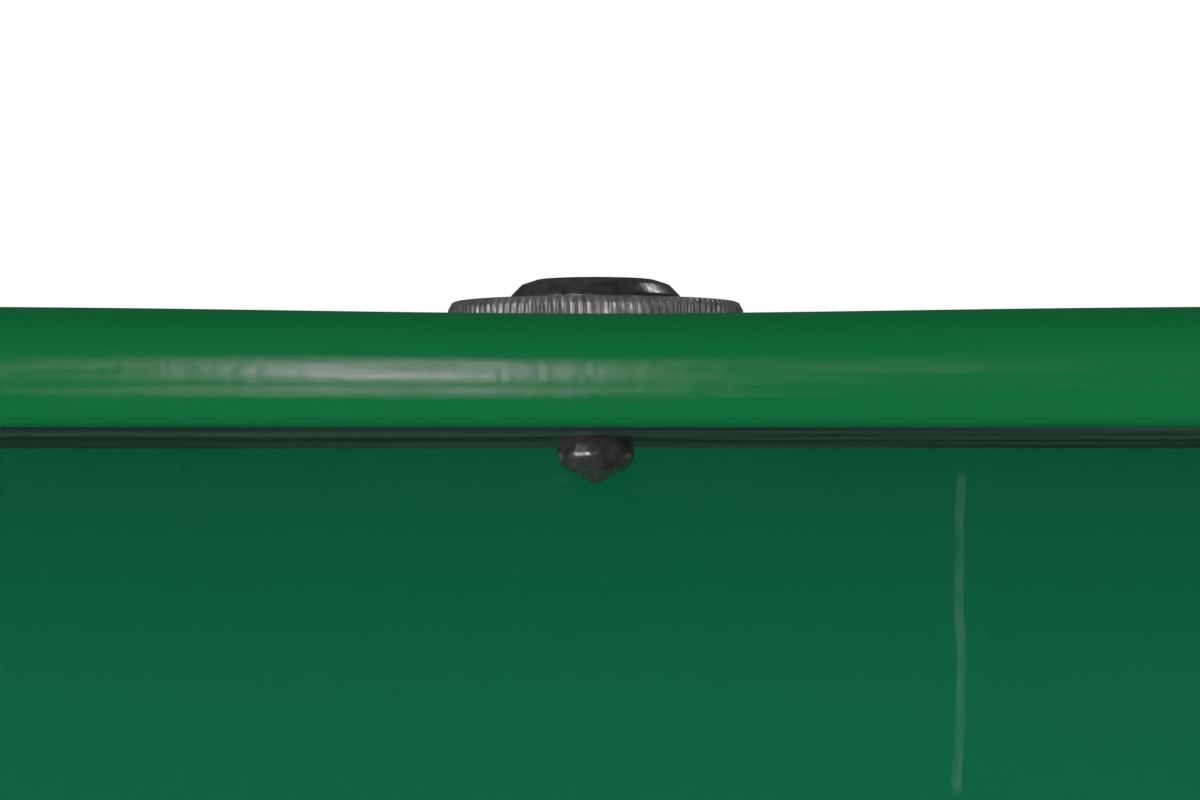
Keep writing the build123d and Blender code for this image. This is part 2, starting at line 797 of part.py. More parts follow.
def card_frame_rivets():
    """Small dome rivets along the frame's two upright sides."""
    rivets = []
    x = card_frame_width / 2 - 3.4
    front = panel_y - card_frame_depth
    for z in (-card_frame_height / 2 + 12, 0, card_frame_height / 2 - 12):
        head = Pos(x, front - 0.6, frame_z + z) * Rot(90, 0, 0) * Cone(1.9, 1.2, 1.2)
        rivets.append(head)
    return mirrored(group(rivets))


# Coin mechanism

slot_x = mech_x - 20.0
slot_z = mech_z + 36.0
button_x = mech_x + 26.0
button_z = mech_z + 40.0
cup_top_z = mech_z - 22.0
cup_low_z = cup_top_z - cup_height
plate_y = panel_y - faceplate_thickness


def coin_faceplate():
    """Cast front plate with the coin slot's boss, button hole, card window and cup opening."""
    half_w, half_h = faceplate_width / 2, faceplate_height / 2
    plate = rounded_plate(mech_x - half_w, mech_x + half_w, mech_z - half_h, mech_z + half_h,
                          plate_y, panel_y, 8)
    plate = chamfer(plate.edges().group_by(Axis.Y)[0], 0.8)
    boss = rounded_plate(slot_x - 9, slot_x + 9, slot_z - 22, slot_z + 22, plate_y - 3, plate_y, 6)
    plate += chamfer(boss.edges().group_by(Axis.Y)[0], 1.2)
    rim = rod_y(button_radius + 4.5, plate_y - 2, plate_y, button_x, button_z)
    plate += chamfer(rim.edges().group_by(Axis.Y)[0], 0.8)
    plate -= rounded_plate(slot_x - coin_slot_width / 2, slot_x + coin_slot_width / 2,
                           slot_z - coin_slot_length / 2, slot_z + coin_slot_length / 2,
                           plate_y - 4, panel_y + 1, 0.8)
    plate -= rod_y(button_radius + 0.1, plate_y - 4, panel_y + 1, button_x, button_z)
    plate -= rounded_plate(button_x - 17, button_x + 17, mech_z - 4, mech_z + 12, plate_y - 1, panel_y + 1, 2)
    plate -= rounded_plate(mech_x - cup_width / 2 + 2, mech_x + cup_width / 2 - 2, cup_low_z + 3, cup_top_z,
                           plate_y - 1, panel_y + 1, 3)
    return plate


def faceplate_screws():
    """Button-head screws at the plate's corners."""
    screws = []
    for i in (-1, 1):
        for j in (-1, 1):
            x = mech_x + i * (faceplate_width / 2 - 6.5)
            z = mech_z + j * (faceplate_height / 2 - 6.5)
            head = Pos(x, plate_y - 0.8, z) * Rot(90, 0, 0) * Cone(3.6, 2.4, 1.6)
            screws.append(head)
    return group(screws)


def price_plate():
    """Enamelled price plate behind the front plate's small window."""
    return block(button_x - 18.5, button_x + 18.5, panel_y, panel_y + 1.5, mech_z - 5.5, mech_z + 13.5)


chassis_y = inside_front_y
chassis_back = chassis_y + chassis_depth
chassis_low = mech_z - faceplate_height / 2 + 4
chassis_high = mech_z + faceplate_height / 2 + 6
rocker_axis = (chassis_y + 70.0, mech_z - 28.0)
latch_axis = (chassis_y + 58.0, chassis_low + 11.0)
lever_axis = (chassis_y + 42.0, button_z + 20.0)
chute_fall = math.radians(12.0)
guide_y = chassis_y + 20.0


def mech_chassis():
    """U-shaped bracket with feet on the header's back and a guide for the button's stem."""
    half = chassis_width / 2
    walls = []
    for side in (-1, 1):
        x = mech_x + side * half
        walls.append(block(x, x - side * sheet, chassis_y, chassis_back, chassis_low, chassis_high))
        walls.append(block(x, x + side * 6, chassis_y, chassis_y + sheet, chassis_low, chassis_high))
    body = walls[0] + walls[1] + walls[2] + walls[3]
    body += block(mech_x - half, mech_x + half, chassis_back - sheet, chassis_back, chassis_low, chassis_high)
    for y, z in (rocker_axis, latch_axis, lever_axis):
        body -= rod_x(shaft_radius + running_gap, mech_x - half - 8, mech_x + half + 8, y, z)
    body -= block(slot_x - 6, slot_x + 6, chassis_back - sheet - 1, chassis_back + 1,
                  chute_height(chassis_back) - 24, chute_height(chassis_back) + 26)
    wall = mech_x + half - sheet
    body += block(button_x - 9, wall, guide_y, guide_y + sheet, button_z - 9, button_z + 9)
    bore = button_stem_radius + running_gap
    return body - rod_y(bore, guide_y - 1, guide_y + sheet + 1, button_x, button_z)


def chute_height(y):
    """Height of the chute's centre line at a depth."""
    return slot_z - (y - chassis_y) * math.tan(chute_fall)


def coin_chute():
    """Channel that carries a coin from the slot back to the cash drawer."""
    y0, y1 = panel_y + 0.5, drawer_y + 16
    tall = coin_slot_length / 2 + 4
    outer = side_profile([
        (y0, chute_height(y0) - tall), (y1, chute_height(y1) - tall),
        (y1, chute_height(y1) + tall), (y0, chute_height(y0) + tall)], slot_x - 4.5, slot_x + 4.5)
    room = coin_slot_length / 2 + 1
    inner = side_profile([
        (y0 - 1, chute_height(y0 - 1) - room), (y1 + 1, chute_height(y1 + 1) - room),
        (y1 + 1, chute_height(y1 + 1) + room), (y0 - 1, chute_height(y0 - 1) + room)],
        slot_x - coin_slot_width / 2, slot_x + coin_slot_width / 2)
    return outer - inner


flap_axis = (panel_y + 3.0, cup_top_z + 2.0)
flap_pin_radius = 1.25


def pivot_pins():
    """Pivots of the rocker, the latch, the return lever and the flap."""
    half = chassis_width / 2 + 2
    pins = [rod_x(shaft_radius, mech_x - half, mech_x + half, y, z)
            for y, z in (rocker_axis, latch_axis, lever_axis)]
    reach = cup_width / 2 - cup_wall
    return group(pins + [rod_x(flap_pin_radius, mech_x - reach, mech_x + reach, *flap_axis)])


def hub_profile(points, axis, x0, x1, hub_radius=6.0):
    """A flat lever with a hub and a running bore round its axis."""
    middle = (x0 + x1) / 2
    reach = max(4.0, (x1 - x0) / 2)
    lever = side_profile(points, x0, x1) + rod_x(hub_radius, middle - reach, middle + reach, *axis)
    return lever - rod_x(shaft_radius + running_gap, middle - reach - 1, middle + reach + 1, *axis)


def latch_lever():
    """Lever whose tip drops through the header into the door's top flange."""
    y, z = latch_axis
    tip_y = latch_slot[0] + 3.5
    return hub_profile([
        (y + 22, z + 5), (tip_y - 2, z + 5), (tip_y - 2, door_top_z + 1.5), (tip_y + 2, door_top_z + 1.5),
        (tip_y + 2, z - 5), (y + 22, z - 5)], latch_axis, latch_x - 1.5, latch_x + 1.5)


def coin_rocker():
    """See-saw that coins tip, with a counterweight and a leg down to the latch's tail."""
    y, z = rocker_axis
    x0, x1 = mech_x - 6, latch_x + 1.5
    rocker = hub_profile([(y - 26, z + 2), (y - 26, z - 2), (y + 28, z - 2), (y + 28, z + 2)],
                         rocker_axis, x0, x1, 5.5)
    tail_top = latch_axis[1] + 5
    leg_y = latch_axis[0] + 20
    rocker += block(latch_x - 1.5, x1, leg_y - 1.5, leg_y + 1.5, tail_top + 1.0, z)
    return rocker + rod_x(7.0, x0, x1 - 12, y - 24, z)


def return_lever():
    """Lever that the return button pushes."""
    y, z = lever_axis
    return hub_profile([(y - 3, z), (y + 3, z), (y + 3, button_z - 10), (y - 3, button_z - 10)],
                       lever_axis, button_x - 5, button_x + 5)


def return_button():
    """Push button with a flange that stops behind the plate and a long stem."""
    stem_end = lever_axis[0] - 3 - seat_gap
    head = rod_y(button_radius, plate_y - button_travel - 3, panel_y + 0.5, button_x, button_z)
    head = fillet(head.edges().group_by(Axis.Y)[0], 1.5)
    flange = rod_y(button_radius + 2.5, panel_y + 0.2, panel_y + 2.2, button_x, button_z)
    tip = Pos(button_x, stem_end - button_stem_radius, button_z) * Sphere(button_stem_radius)
    stem = rod_y(button_stem_radius, panel_y + 2.2, stem_end - button_stem_radius, button_x, button_z)
    return head + flange + stem + tip


def return_spring():
    """Compression spring between the button's flange and its guide."""
    free = guide_y - (panel_y + 2.2)
    wire = 0.5
    turns = 6
    path = Helix((free - 2 * wire) / turns, free - 2 * wire, 5.6)
    coil = sweep(Plane(path @ 0, z_dir=path % 0) * Circle(wire), path, is_frenet=True)
    return Pos(button_x, guide_y - wire, button_z) * Rot(90, 0, 0) * coil


def return_cup():
    """Pocket behind the plate where returned coins land."""
    x0, x1 = mech_x - cup_width / 2, mech_x + cup_width / 2
    y0, y1 = panel_y, panel_y + cup_depth
    cup = block(x0, x1, y0, y1, cup_low_z, cup_top_z + 6)
    cup -= block(x0 + cup_wall, x1 - cup_wall, y0 - 1, y1 - cup_wall, cup_low_z + cup_wall, cup_top_z + 7)
    return cup


def return_flap():
    """Plate that hangs from its pin and closes the cup."""
    y, z = flap_axis
    x0, x1 = mech_x - cup_width / 2 + 2.5, mech_x + cup_width / 2 - 2.5
    flap = block(x0, x1, y - 0.8, y + 0.8, cup_low_z + 4, z)
    flap += rod_x(2.6, x0, x1, y, z)
    return flap - rod_x(flap_pin_radius + running_gap, x0 - 1, x1 + 1, y, z)


# Cash drawer

drawer_back_x = half_width - drawer_depth
bin_front_x = half_width - lock_zone
drawer_mid_y = drawer_y + drawer_length / 2
drawer_mid_z = drawer_z + drawer_height / 2
drawer_face_x = half_width + sheet


def cash_drawer():
    """Open-topped bin with a front plate that covers the cut-out in the side wall."""
    wall = thin_sheet
    y0, y1 = drawer_y, drawer_y + drawer_length
    top = drawer_z + drawer_height
    bin_shape = block(drawer_back_x, bin_front_x, y0, y1, drawer_z, top)
    bin_shape -= block(drawer_back_x + wall, bin_front_x - wall, y0 + wall, y1 - wall,
                       drawer_z + wall, top + 1)
    lip = drawer_lip
    drawer = bin_shape + rounded_side_plate(half_width, drawer_face_x, y0 - lip, y1 + lip,
                                            drawer_z - lip, top + lip, 5)
    for y in (y0, y1 - wall):
        drawer += block(bin_front_x - 1, half_width, y, y + wall, drawer_z, top)
    bore = lock_body_radius + running_gap
    return drawer - rod_x(bore, bin_front_x + 1, drawer_face_x + 1, drawer_mid_y, drawer_mid_z)


def rounded_side_plate(x0, x1, y0, y1, z0, z1, radius):
    """An upright plate facing +X with rounded corners."""
    plate = extrude(Plane.YZ * RectangleRounded(y1 - y0, z1 - z0, radius), x1 - x0)
    return Pos(x0, (y0 + y1) / 2, (z0 + z1) / 2) * plate


def drawer_housing():
    """Channel welded to the side wall that the drawer slides in."""
    gap = seat_gap
    x0 = drawer_back_x - 4
    y0, y1 = drawer_y - 1, drawer_y + drawer_length + 1
    low = drawer_z - gap - sheet
    channel = block(x0, inner_half, y0 - sheet, y1 + sheet, low, drawer_z + 34)
    channel -= block(x0 + sheet, inner_half + 1, y0, y1, drawer_z - gap, drawer_z + 40)
    return channel


cam_x = inner_half - 5.0


def lock_body():
    """Lock barrel with a flange outside the drawer's plate."""
    outer = drawer_face_x
    body = rod_x(lock_body_radius, cam_x + 3, outer, drawer_mid_y, drawer_mid_z)
    flange = rod_x(lock_body_radius + 3, outer, outer + 2.6, drawer_mid_y, drawer_mid_z)
    body += chamfer(flange.edges().group_by(Axis.X)[-1], 1.0)
    return body - rod_x(lock_plug_radius + running_gap, cam_x, outer + 5, drawer_mid_y, drawer_mid_z)


def lock_plug():
    """Keyed plug with the cam on its inner end, cam level when the lock is open."""
    outer = drawer_face_x + 2.9
    plug = rod_x(lock_plug_radius, cam_x + 2.5, outer, drawer_mid_y, drawer_mid_z)
    plug -= block(outer - 4, outer + 1, drawer_mid_y - 0.9, drawer_mid_y + 0.9,
                  drawer_mid_z - 4, drawer_mid_z + 4)
    cam = block(cam_x, cam_x + 2.5, drawer_mid_y - 6, drawer_mid_y + cam_length,
                drawer_mid_z - 6, drawer_mid_z + 6)
    cam = fillet(cam.edges().filter_by(Axis.X), 4)
    return plug + cam


NODES = {
    "base_plate": base_plate,
    "column": column,
    "base_gussets": base_gussets,
    "column_cap": column_cap,
    "column_bolts": column_bolts,
    "column_nuts": column_nuts,
    "chain_eye": chain_eye,
    "side_panel_left": lambda: side_panel(-1),
    "side_panel_right": lambda: side_panel(1),
    "cabinet_floor": cabinet_floor,
    "back_panel": back_panel,
    "back_panel_rivets": back_panel_rivets,
    "roof_cover": roof_cover,
    "hood_underplate": hood_underplate,
    "hood_rivets": hood_rivets,
    "hood_rivet_washers": hood_rivet_washers,
    "rivet_spacers": rivet_spacers,
    "roof_angles": roof_angles,
    "wall_screws": wall_screws,
    "header_panel": header_panel,
    "lower_panel": lower_panel,
    "sill_angle": sill_angle,
    "shelf": shelf,
    "shelf_brackets": shelf_brackets,
    "hinge_brackets": hinge_brackets,
    "hinge_rod": hinge_rod,
    "hinge_rod_clips": hinge_rod_clips,
    "door_springs": door_springs,
    "door_pan": door_pan,
    "window_gasket": window_gasket,
    "window_pane": window_pane,
    "window_retainer": window_retainer,
    "retainer_studs": retainer_studs,
    "door_handle": door_handle,
    "handle_screws": handle_screws,
    "door_wings": door_wings,
    "display_bail": display_bail,
    "door_bumpers": door_bumpers,
    "card_frame": card_frame,
    "display_card": display_card,
    "card_cover": card_cover,
    "card_frame_rivets": card_frame_rivets,
    "coin_faceplate": coin_faceplate,
    "faceplate_screws": faceplate_screws,
    "price_plate": price_plate,
    "mech_chassis": mech_chassis,
    "coin_chute": coin_chute,
    "pivot_pins": pivot_pins,
    "latch_lever": latch_lever,
    "coin_rocker": coin_rocker,
    "return_lever": return_lever,
    "return_button": return_button,
    "return_spring": return_spring,
    "return_cup": return_cup,
    "return_flap": return_flap,
    "cash_drawer": cash_drawer,
    "drawer_housing": drawer_housing,
    "lock_body": lock_body,
    "lock_plug": lock_plug,
}

os.makedirs("parts", exist_ok=True)
for name, make in NODES.items():
    export_step(make(), f"parts/{name}.step")
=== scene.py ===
import math

import bmesh
import bpy
from mathutils import Matrix, Vector


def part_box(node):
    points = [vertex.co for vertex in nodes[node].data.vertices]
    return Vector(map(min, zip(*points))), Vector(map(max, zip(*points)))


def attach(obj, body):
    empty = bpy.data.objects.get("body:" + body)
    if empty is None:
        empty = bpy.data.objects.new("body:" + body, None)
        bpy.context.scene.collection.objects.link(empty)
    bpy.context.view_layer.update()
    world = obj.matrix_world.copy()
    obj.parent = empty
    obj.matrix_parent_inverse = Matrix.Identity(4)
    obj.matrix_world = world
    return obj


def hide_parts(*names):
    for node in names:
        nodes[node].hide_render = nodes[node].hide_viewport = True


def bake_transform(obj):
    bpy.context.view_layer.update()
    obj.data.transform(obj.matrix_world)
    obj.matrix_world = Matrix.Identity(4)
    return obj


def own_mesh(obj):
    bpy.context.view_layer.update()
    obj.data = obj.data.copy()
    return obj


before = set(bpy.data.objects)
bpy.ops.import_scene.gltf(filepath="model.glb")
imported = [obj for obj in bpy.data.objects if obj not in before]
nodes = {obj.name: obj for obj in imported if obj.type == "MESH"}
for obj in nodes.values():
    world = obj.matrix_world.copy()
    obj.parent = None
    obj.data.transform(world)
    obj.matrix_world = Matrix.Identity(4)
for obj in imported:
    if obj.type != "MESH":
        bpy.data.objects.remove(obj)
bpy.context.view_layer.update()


# ---------------------------------------------------------------------------------------------
# Floor. A plain studio floor in matt off-white paint, with the pedestal standing on it. It is
# staging and no part of the box. The enamel and the plating don't mirror it.
floor_half = 8.0
floor_mesh = bpy.data.meshes.new("studio_floor")
floor_form = bmesh.new()
bmesh.ops.create_grid(floor_form, x_segments=2, y_segments=2, size=floor_half)
floor_form.to_mesh(floor_mesh)
floor_form.free()
studio_floor = bpy.data.objects.new("studio_floor", floor_mesh)
bpy.context.scene.collection.objects.link(studio_floor)


def finish(name, colour, roughness, metallic=0.0):
    """A new material with its shader's plain values."""
    material = bpy.data.materials.new(name)
    material.use_nodes = True
    shader = material.node_tree.nodes["Principled BSDF"]
    shader.inputs["Base Color"].default_value = (*colour, 1.0)
    shader.inputs["Roughness"].default_value = roughness
    shader.inputs["Metallic"].default_value = metallic
    return material


def step(material, kind, sockets, **settings):
    """One more node in a finish. A socket takes a number, a colour or another node's output."""
    made = material.node_tree.nodes.new("ShaderNode" + kind)
    for name, value in settings.items():
        setattr(made, name, value)
    for name, value in sockets.items():
        if isinstance(value, bpy.types.NodeSocket):
            material.node_tree.links.new(value, made.inputs[name])
        else:
            made.inputs[name].default_value = value
    return made


def feed(material, source, name):
    """Runs a node's output into the finish's shader."""
    shader = material.node_tree.nodes["Principled BSDF"]
    material.node_tree.links.new(source, shader.inputs[name])


def under(material, name):
    """What the shader takes at a socket so far: an output, or its plain value."""
    socket = material.node_tree.nodes["Principled BSDF"].inputs[name]
    return socket.links[0].from_socket if socket.links else tuple(socket.default_value)


def places(material, stretch=(1.0, 1.0, 1.0)):
    """Places on the piece in metres, stretched."""
    where = step(material, "TexCoord", {}).outputs["Object"]
    return step(material, "Mapping", {"Vector": where, "Scale": stretch}).outputs["Vector"]


def clouds(material, scale, detail=3.0, stretch=(1.0, 1.0, 1.0), rough=0.55):
    """Soft cloudy variation, with that many clouds to the metre."""
    return step(material, "TexNoise", {
        "Vector": places(material, stretch), "Scale": scale, "Detail": detail, "Roughness": rough,
    }).outputs[0]


def between(material, value, low, high, start=0.0, end=1.0):
    """Spreads a value's range from low to high over start to end, smoothly."""
    return step(material, "MapRange", {
        "Value": value, "From Min": low, "From Max": high, "To Min": start, "To Max": end,
    }, interpolation_type="SMOOTHSTEP").outputs[0]


def times(material, first, second):
    """Two masks multiplied."""
    return step(material, "Math", {0: first, 1: second}, operation="MULTIPLY").outputs[0]


def lay_colour(material, mask, colour):
    """Lays a colour over what is there, where the mask is."""
    blend = step(material, "Mix", {0: mask, 6: under(material, "Base Color"), 7: (*colour, 1.0)},
                 data_type="RGBA")
    feed(material, blend.outputs[2], "Base Color")


def lay_relief(material, height, depth):
    """Raises the surface by a height that runs from 0 to 1, at most depth metres."""
    sockets = {"Height": height, "Distance": depth, "Strength": 1.0}
    normal = material.node_tree.nodes["Principled BSDF"].inputs["Normal"]
    if normal.links:
        sockets["Normal"] = normal.links[0].from_socket
    feed(material, step(material, "Bump", sockets).outputs[0], "Normal")


def soften_edges(material, radius):
    """Catches the light along edges, as if they were broken by that radius."""
    feed(material, step(material, "Bevel", {"Radius": radius}, samples=4).outputs[0], "Normal")


def edge_mask(material, radius, scale, low, high):
    """Broken patches along edges, where wear begins."""
    turned = step(material, "Bevel", {"Radius": radius}, samples=4).outputs[0]
    flat = step(material, "NewGeometry", {}).outputs["Normal"]
    alike = step(material, "VectorMath", {0: turned, 1: flat}, operation="DOT_PRODUCT").outputs["Value"]
    edge = between(material, alike, 0.995, 0.86)
    return times(material, edge, between(material, clouds(material, scale, 5.0), low, high))


floor_paint = finish("floor_paint", (0.86, 0.86, 0.85), 0.75)
scuffed = between(floor_paint, clouds(floor_paint, 1.3), 0.35, 0.75, 0.0, 0.35)
lay_colour(floor_paint, scuffed, (0.8, 0.8, 0.79))
floor_mesh.materials.append(floor_paint)
studio_floor.visible_glossy = False


# ---------------------------------------------------------------------------------------------
# Light and camera. Large soft boxes at both sides, above and behind, four over the far floor,
# slim ones in front that only the hood's lip and its fasteners reflect, and a long lens that
# looks up at the lip from just below it.
floor_tone = 0.50
world = bpy.data.worlds.new("studio")
bpy.context.scene.world = world
world.use_nodes = True
sky = world.node_tree
plain_white = sky.nodes["Background"]
plain_white.inputs["Color"].default_value = (1.0, 1.0, 1.0, 1.0)
dim_grey = sky.nodes.new("ShaderNodeBackground")
dim_grey.inputs["Color"].default_value = (0.93, 0.97, 1.0, 1.0)
dim_grey.inputs["Strength"].default_value = 0.055
soft_fill = sky.nodes.new("ShaderNodeBackground")
soft_fill.inputs["Strength"].default_value = 0.22
# Past the floor's edge the backdrop is as grey as the floor, and it turns white at the horizon.
direction = sky.nodes.new("ShaderNodeTexCoord")
upwards = sky.nodes.new("ShaderNodeSeparateXYZ")
sky.links.new(direction.outputs["Generated"], upwards.inputs[0])
horizon = sky.nodes.new("ShaderNodeMapRange")
horizon.inputs["From Min"].default_value = -0.03
horizon.inputs["From Max"].default_value = 0.0
horizon.inputs["To Min"].default_value = floor_tone
sky.links.new(upwards.outputs["Z"], horizon.inputs["Value"])
sky.links.new(horizon.outputs[0], plain_white.inputs["Strength"])
seen = sky.nodes.new("ShaderNodeLightPath")
below = dim_grey.outputs[0]
for ray, backdrop in (("Is Diffuse Ray", soft_fill), ("Is Camera Ray", plain_white)):
    pick = sky.nodes.new("ShaderNodeMixShader")
    sky.links.new(seen.outputs[ray], pick.inputs[0])
    sky.links.new(below, pick.inputs[1])
    sky.links.new(backdrop.outputs[0], pick.inputs[2])
    below = pick.outputs[0]
sky.links.new(below, sky.nodes["World Output"].inputs["Surface"])
bpy.context.scene.view_settings.view_transform = "Standard"
bpy.context.scene.view_settings.look = "None"


def soft_box(name, place, target, width, tall, watts, colour=(1.0, 1.0, 1.0), only=None):
    """An area light that faces its target and isn't seen itself. It may light only some pieces."""
    lamp = bpy.data.lights.new(name, "AREA")
    lamp.shape = "RECTANGLE"
    lamp.size, lamp.size_y = width, tall
    lamp.energy = watts
    lamp.color = colour
    box = bpy.data.objects.new(name, lamp)
    box.location = place
    box.rotation_euler = (Vector(target) - Vector(place)).to_track_quat("-Z", "Y").to_euler()
    box.visible_camera = False
    box.light_linking.receiver_collection = only
    bpy.context.scene.collection.objects.link(box)
    return box


roof_low, roof_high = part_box("roof_cover")
lip_y = roof_low.y
lip_foot = roof_low.z
roof_top = roof_high.z

hood_front = bpy.data.collections.new("hood_front")
hood_fasteners = bpy.data.collections.new("hood_fasteners")
all_but_rivets = bpy.data.collections.new("all_but_rivets")
chest = (0.0, 0.0, 0.9)
rim = (0.0, lip_y, 1.245)
slim_y, slim_z = lip_y - 2.0, 1.345
soft_box("left_box", (-2.6, -2.4, 1.3), chest, 1.8, 2.2, 68.0)
soft_box("right_box", (2.8, -1.9, 1.4), chest, 1.8, 2.2, 34.0, only=all_but_rivets)
top_box = soft_box("top_box", (0.0, 1.5, 3.3), (0.0, 0.0, 1.0), 2.4, 1.6, 34.0)
top_box.visible_glossy = False
back_box = soft_box("back_box", (2.2, 2.7, 1.5), chest, 1.8, 2.0, 60.0)
back_box.visible_glossy = False
floor_only = bpy.data.collections.new("floor_only")
floor_only.objects.link(studio_floor)
far_out, overhead, strip_wide, strip_long = 6.0, 2.2, 3.0, 11.0
for hand, x, y, width, tall in (("back", 0.0, far_out, strip_long, strip_wide),
                                ("front", 0.0, -far_out, strip_long, strip_wide),
                                ("right", far_out, 0.0, strip_wide, strip_long),
                                ("left", -far_out, 0.0, strip_wide, strip_long)):
    soft_box("floor_box_" + hand, (x, y, overhead), (x, y, 0.0), width, tall, 110.0, only=floor_only)
soft_box("rim_box", (-0.050, slim_y, slim_z), rim, 0.056, 0.30, 0.78, (1.0, 0.66, 0.88), hood_front)
soft_box("rim_fill", (-0.012, slim_y, slim_z), rim, 0.19, 0.12, 0.012, (1.0, 0.75, 0.90), hood_front)
soft_box("tail_box", (-0.84, lip_y - 1.8, 1.42), rim, 0.40, 1.30, 15.0, only=hood_fasteners)
soft_box("head_box", (1.3, 1.05, 3.0), rim, 0.4, 0.4, 4.5, only=hood_fasteners)

lens = bpy.data.cameras.new("camera")
lens.lens = 377.4
lens.sensor_width = 36.0
lens.clip_end = 60.0
camera = bpy.data.objects.new("camera", lens)
camera_x, away, camera_z, aim_z = 0.00036, 1.0, 1.1985, 1.24294
camera.location = (camera_x, lip_y - away, camera_z)
aim = Vector((camera_x, lip_y, aim_z)) - camera.location
camera.rotation_euler = aim.to_track_quat("-Z", "Y").to_euler()
bpy.context.scene.collection.objects.link(camera)
bpy.context.scene.camera = camera


# ---------------------------------------------------------------------------------------------
# Pedestal. Welded steel: base plate, square column, gussets and cap plate, all powder coated
# satin black, with mud splashes low down and chips along the edges.
def black_powder_coat():
    """Satin black coat with a fine grain, chipped edges and dried mud near the ground."""
    splash_top = 0.16
    coat = finish("black_powder_coat", (0.02, 0.021, 0.023), 0.42)
    lay_colour(coat, between(coat, clouds(coat, 9.0), 0.45, 0.75, 0.0, 0.6), (0.032, 0.033, 0.034))
    height = step(coat, "SeparateXYZ", {0: places(coat)}).outputs["Z"]
    low_down = between(coat, height, splash_top, 0.0)
    mud = between(coat, clouds(coat, 42.0, 6.0), 0.48, 0.68, 0.0, 0.75)
    lay_colour(coat, times(coat, low_down, mud), (0.12, 0.105, 0.085))
    soften_edges(coat, 0.0009)
    lay_relief(coat, clouds(coat, 900.0, 2.0), 0.00003)
    chips = edge_mask(coat, 0.0016, 160.0, 0.56, 0.62)
    lay_colour(coat, chips, (0.16, 0.15, 0.14))
    feed(coat, between(coat, clouds(coat, 25.0), 0.3, 0.8, 0.34, 0.52), "Roughness")
    return coat


def paint_node(name, material):
    """Gives a CAD node its finish."""
    piece = nodes[name]
    piece.data.materials.clear()
    piece.data.materials.append(material)


black_coat = black_powder_coat()
for name in ("base_plate", "column", "base_gussets", "column_cap"):
    paint_node(name, black_coat)


def smooth_piece(form, name, material):
    """Makes a finished piece of a bmesh, smooth all over."""
    mesh = bpy.data.meshes.new(name)
    form.to_mesh(mesh)
    form.free()
    mesh.materials.append(material)
    mesh.polygons.foreach_set("use_smooth", [True] * len(mesh.polygons))
    piece = bpy.data.objects.new(name, mesh)
    bpy.context.scene.collection.objects.link(piece)
    return piece


def riding_piece(form, name, material, body, crisp=38.0):
    """Makes a piece whose edges over crisp degrees stay sharp, and lets it ride on its body."""
    piece = smooth_piece(form, name, material)
    piece.data.set_sharp_from_angle(angle=math.radians(crisp))
    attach(piece, body)
    return piece


# ---------------------------------------------------------------------------------------------
# Weld beads. Rippled fillets that join the column and its gussets to the base plate, laid by
# hand along each seam and painted over with the same black coat.
def lay_bead(form, start, end, leg):
    """Lays one bead from start to end: rings drawn on along the seam, swelling at each ripple."""
    seam = end - start
    ripples = max(3, round(seam.length / ripple))
    turn_to_seam = seam.to_track_quat("Z", "Y").to_matrix().to_4x4()
    ring = bmesh.ops.create_circle(form, cap_ends=True, segments=8, radius=leg * 0.7,
                                   matrix=Matrix.Translation(start) @ turn_to_seam)["verts"]
    edges = list({e for v in ring for e in v.link_edges})
    rings = ripples * 3
    for part in range(1, rings + 1):
        grown = bmesh.ops.extrude_edge_only(form, edges=edges)["geom"]
        verts = [g for g in grown if isinstance(g, bmesh.types.BMVert)]
        edges = [g for g in grown if isinstance(g, bmesh.types.BMEdge)]
        middle = start + seam * (part / rings)
        swell = (0.92, 1.08, 1.0)[part % 3] if part < rings else 0.6
        centre = sum((v.co for v in verts), Vector()) / len(verts)
        for vert in verts:
            vert.co = middle + (vert.co - centre).normalized() * leg * swell
    bmesh.ops.holes_fill(form, edges=edges, sides=0)


base_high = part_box("base_plate")[1]
gusset_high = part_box("base_gussets")[1]
column_low, column_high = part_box("column")
foot_z = base_high.z
bead_leg, ripple, stand_off = 0.0028, 0.0028, 0.0008
half_column = (column_high.x - column_low.x) / 2
column_y = (column_low.y + column_high.y) / 2
half_gusset = 0.003
corner_reach = 0.048
seam_gap, top_gap = 0.004, 0.006
bead_form = bmesh.new()
for quarter in range(4):
    spin = Matrix.Translation((0.0, column_y, 0.0)) @ Matrix.Rotation(quarter * math.pi / 2, 4, "Z")
    for side in (-1.0, 1.0):
        edge = side * (half_gusset + stand_off)
        at_face = half_column + stand_off
        seams = [((at_face, side * corner_reach, foot_z), (at_face, edge * 2.2, foot_z)),
                 ((at_face + seam_gap, edge, foot_z), (gusset_high.x - seam_gap, edge, foot_z)),
                 ((at_face, edge, foot_z + seam_gap), (at_face, edge, gusset_high.z - top_gap))]
        for start, end in seams:
            lay_bead(bead_form, spin @ Vector(start), spin @ Vector(end), bead_leg)
bmesh.ops.recalc_face_normals(bead_form, faces=bead_form.faces)
bead_piece = riding_piece(bead_form, "weld_beads", black_coat, "cabinet", 80.0)


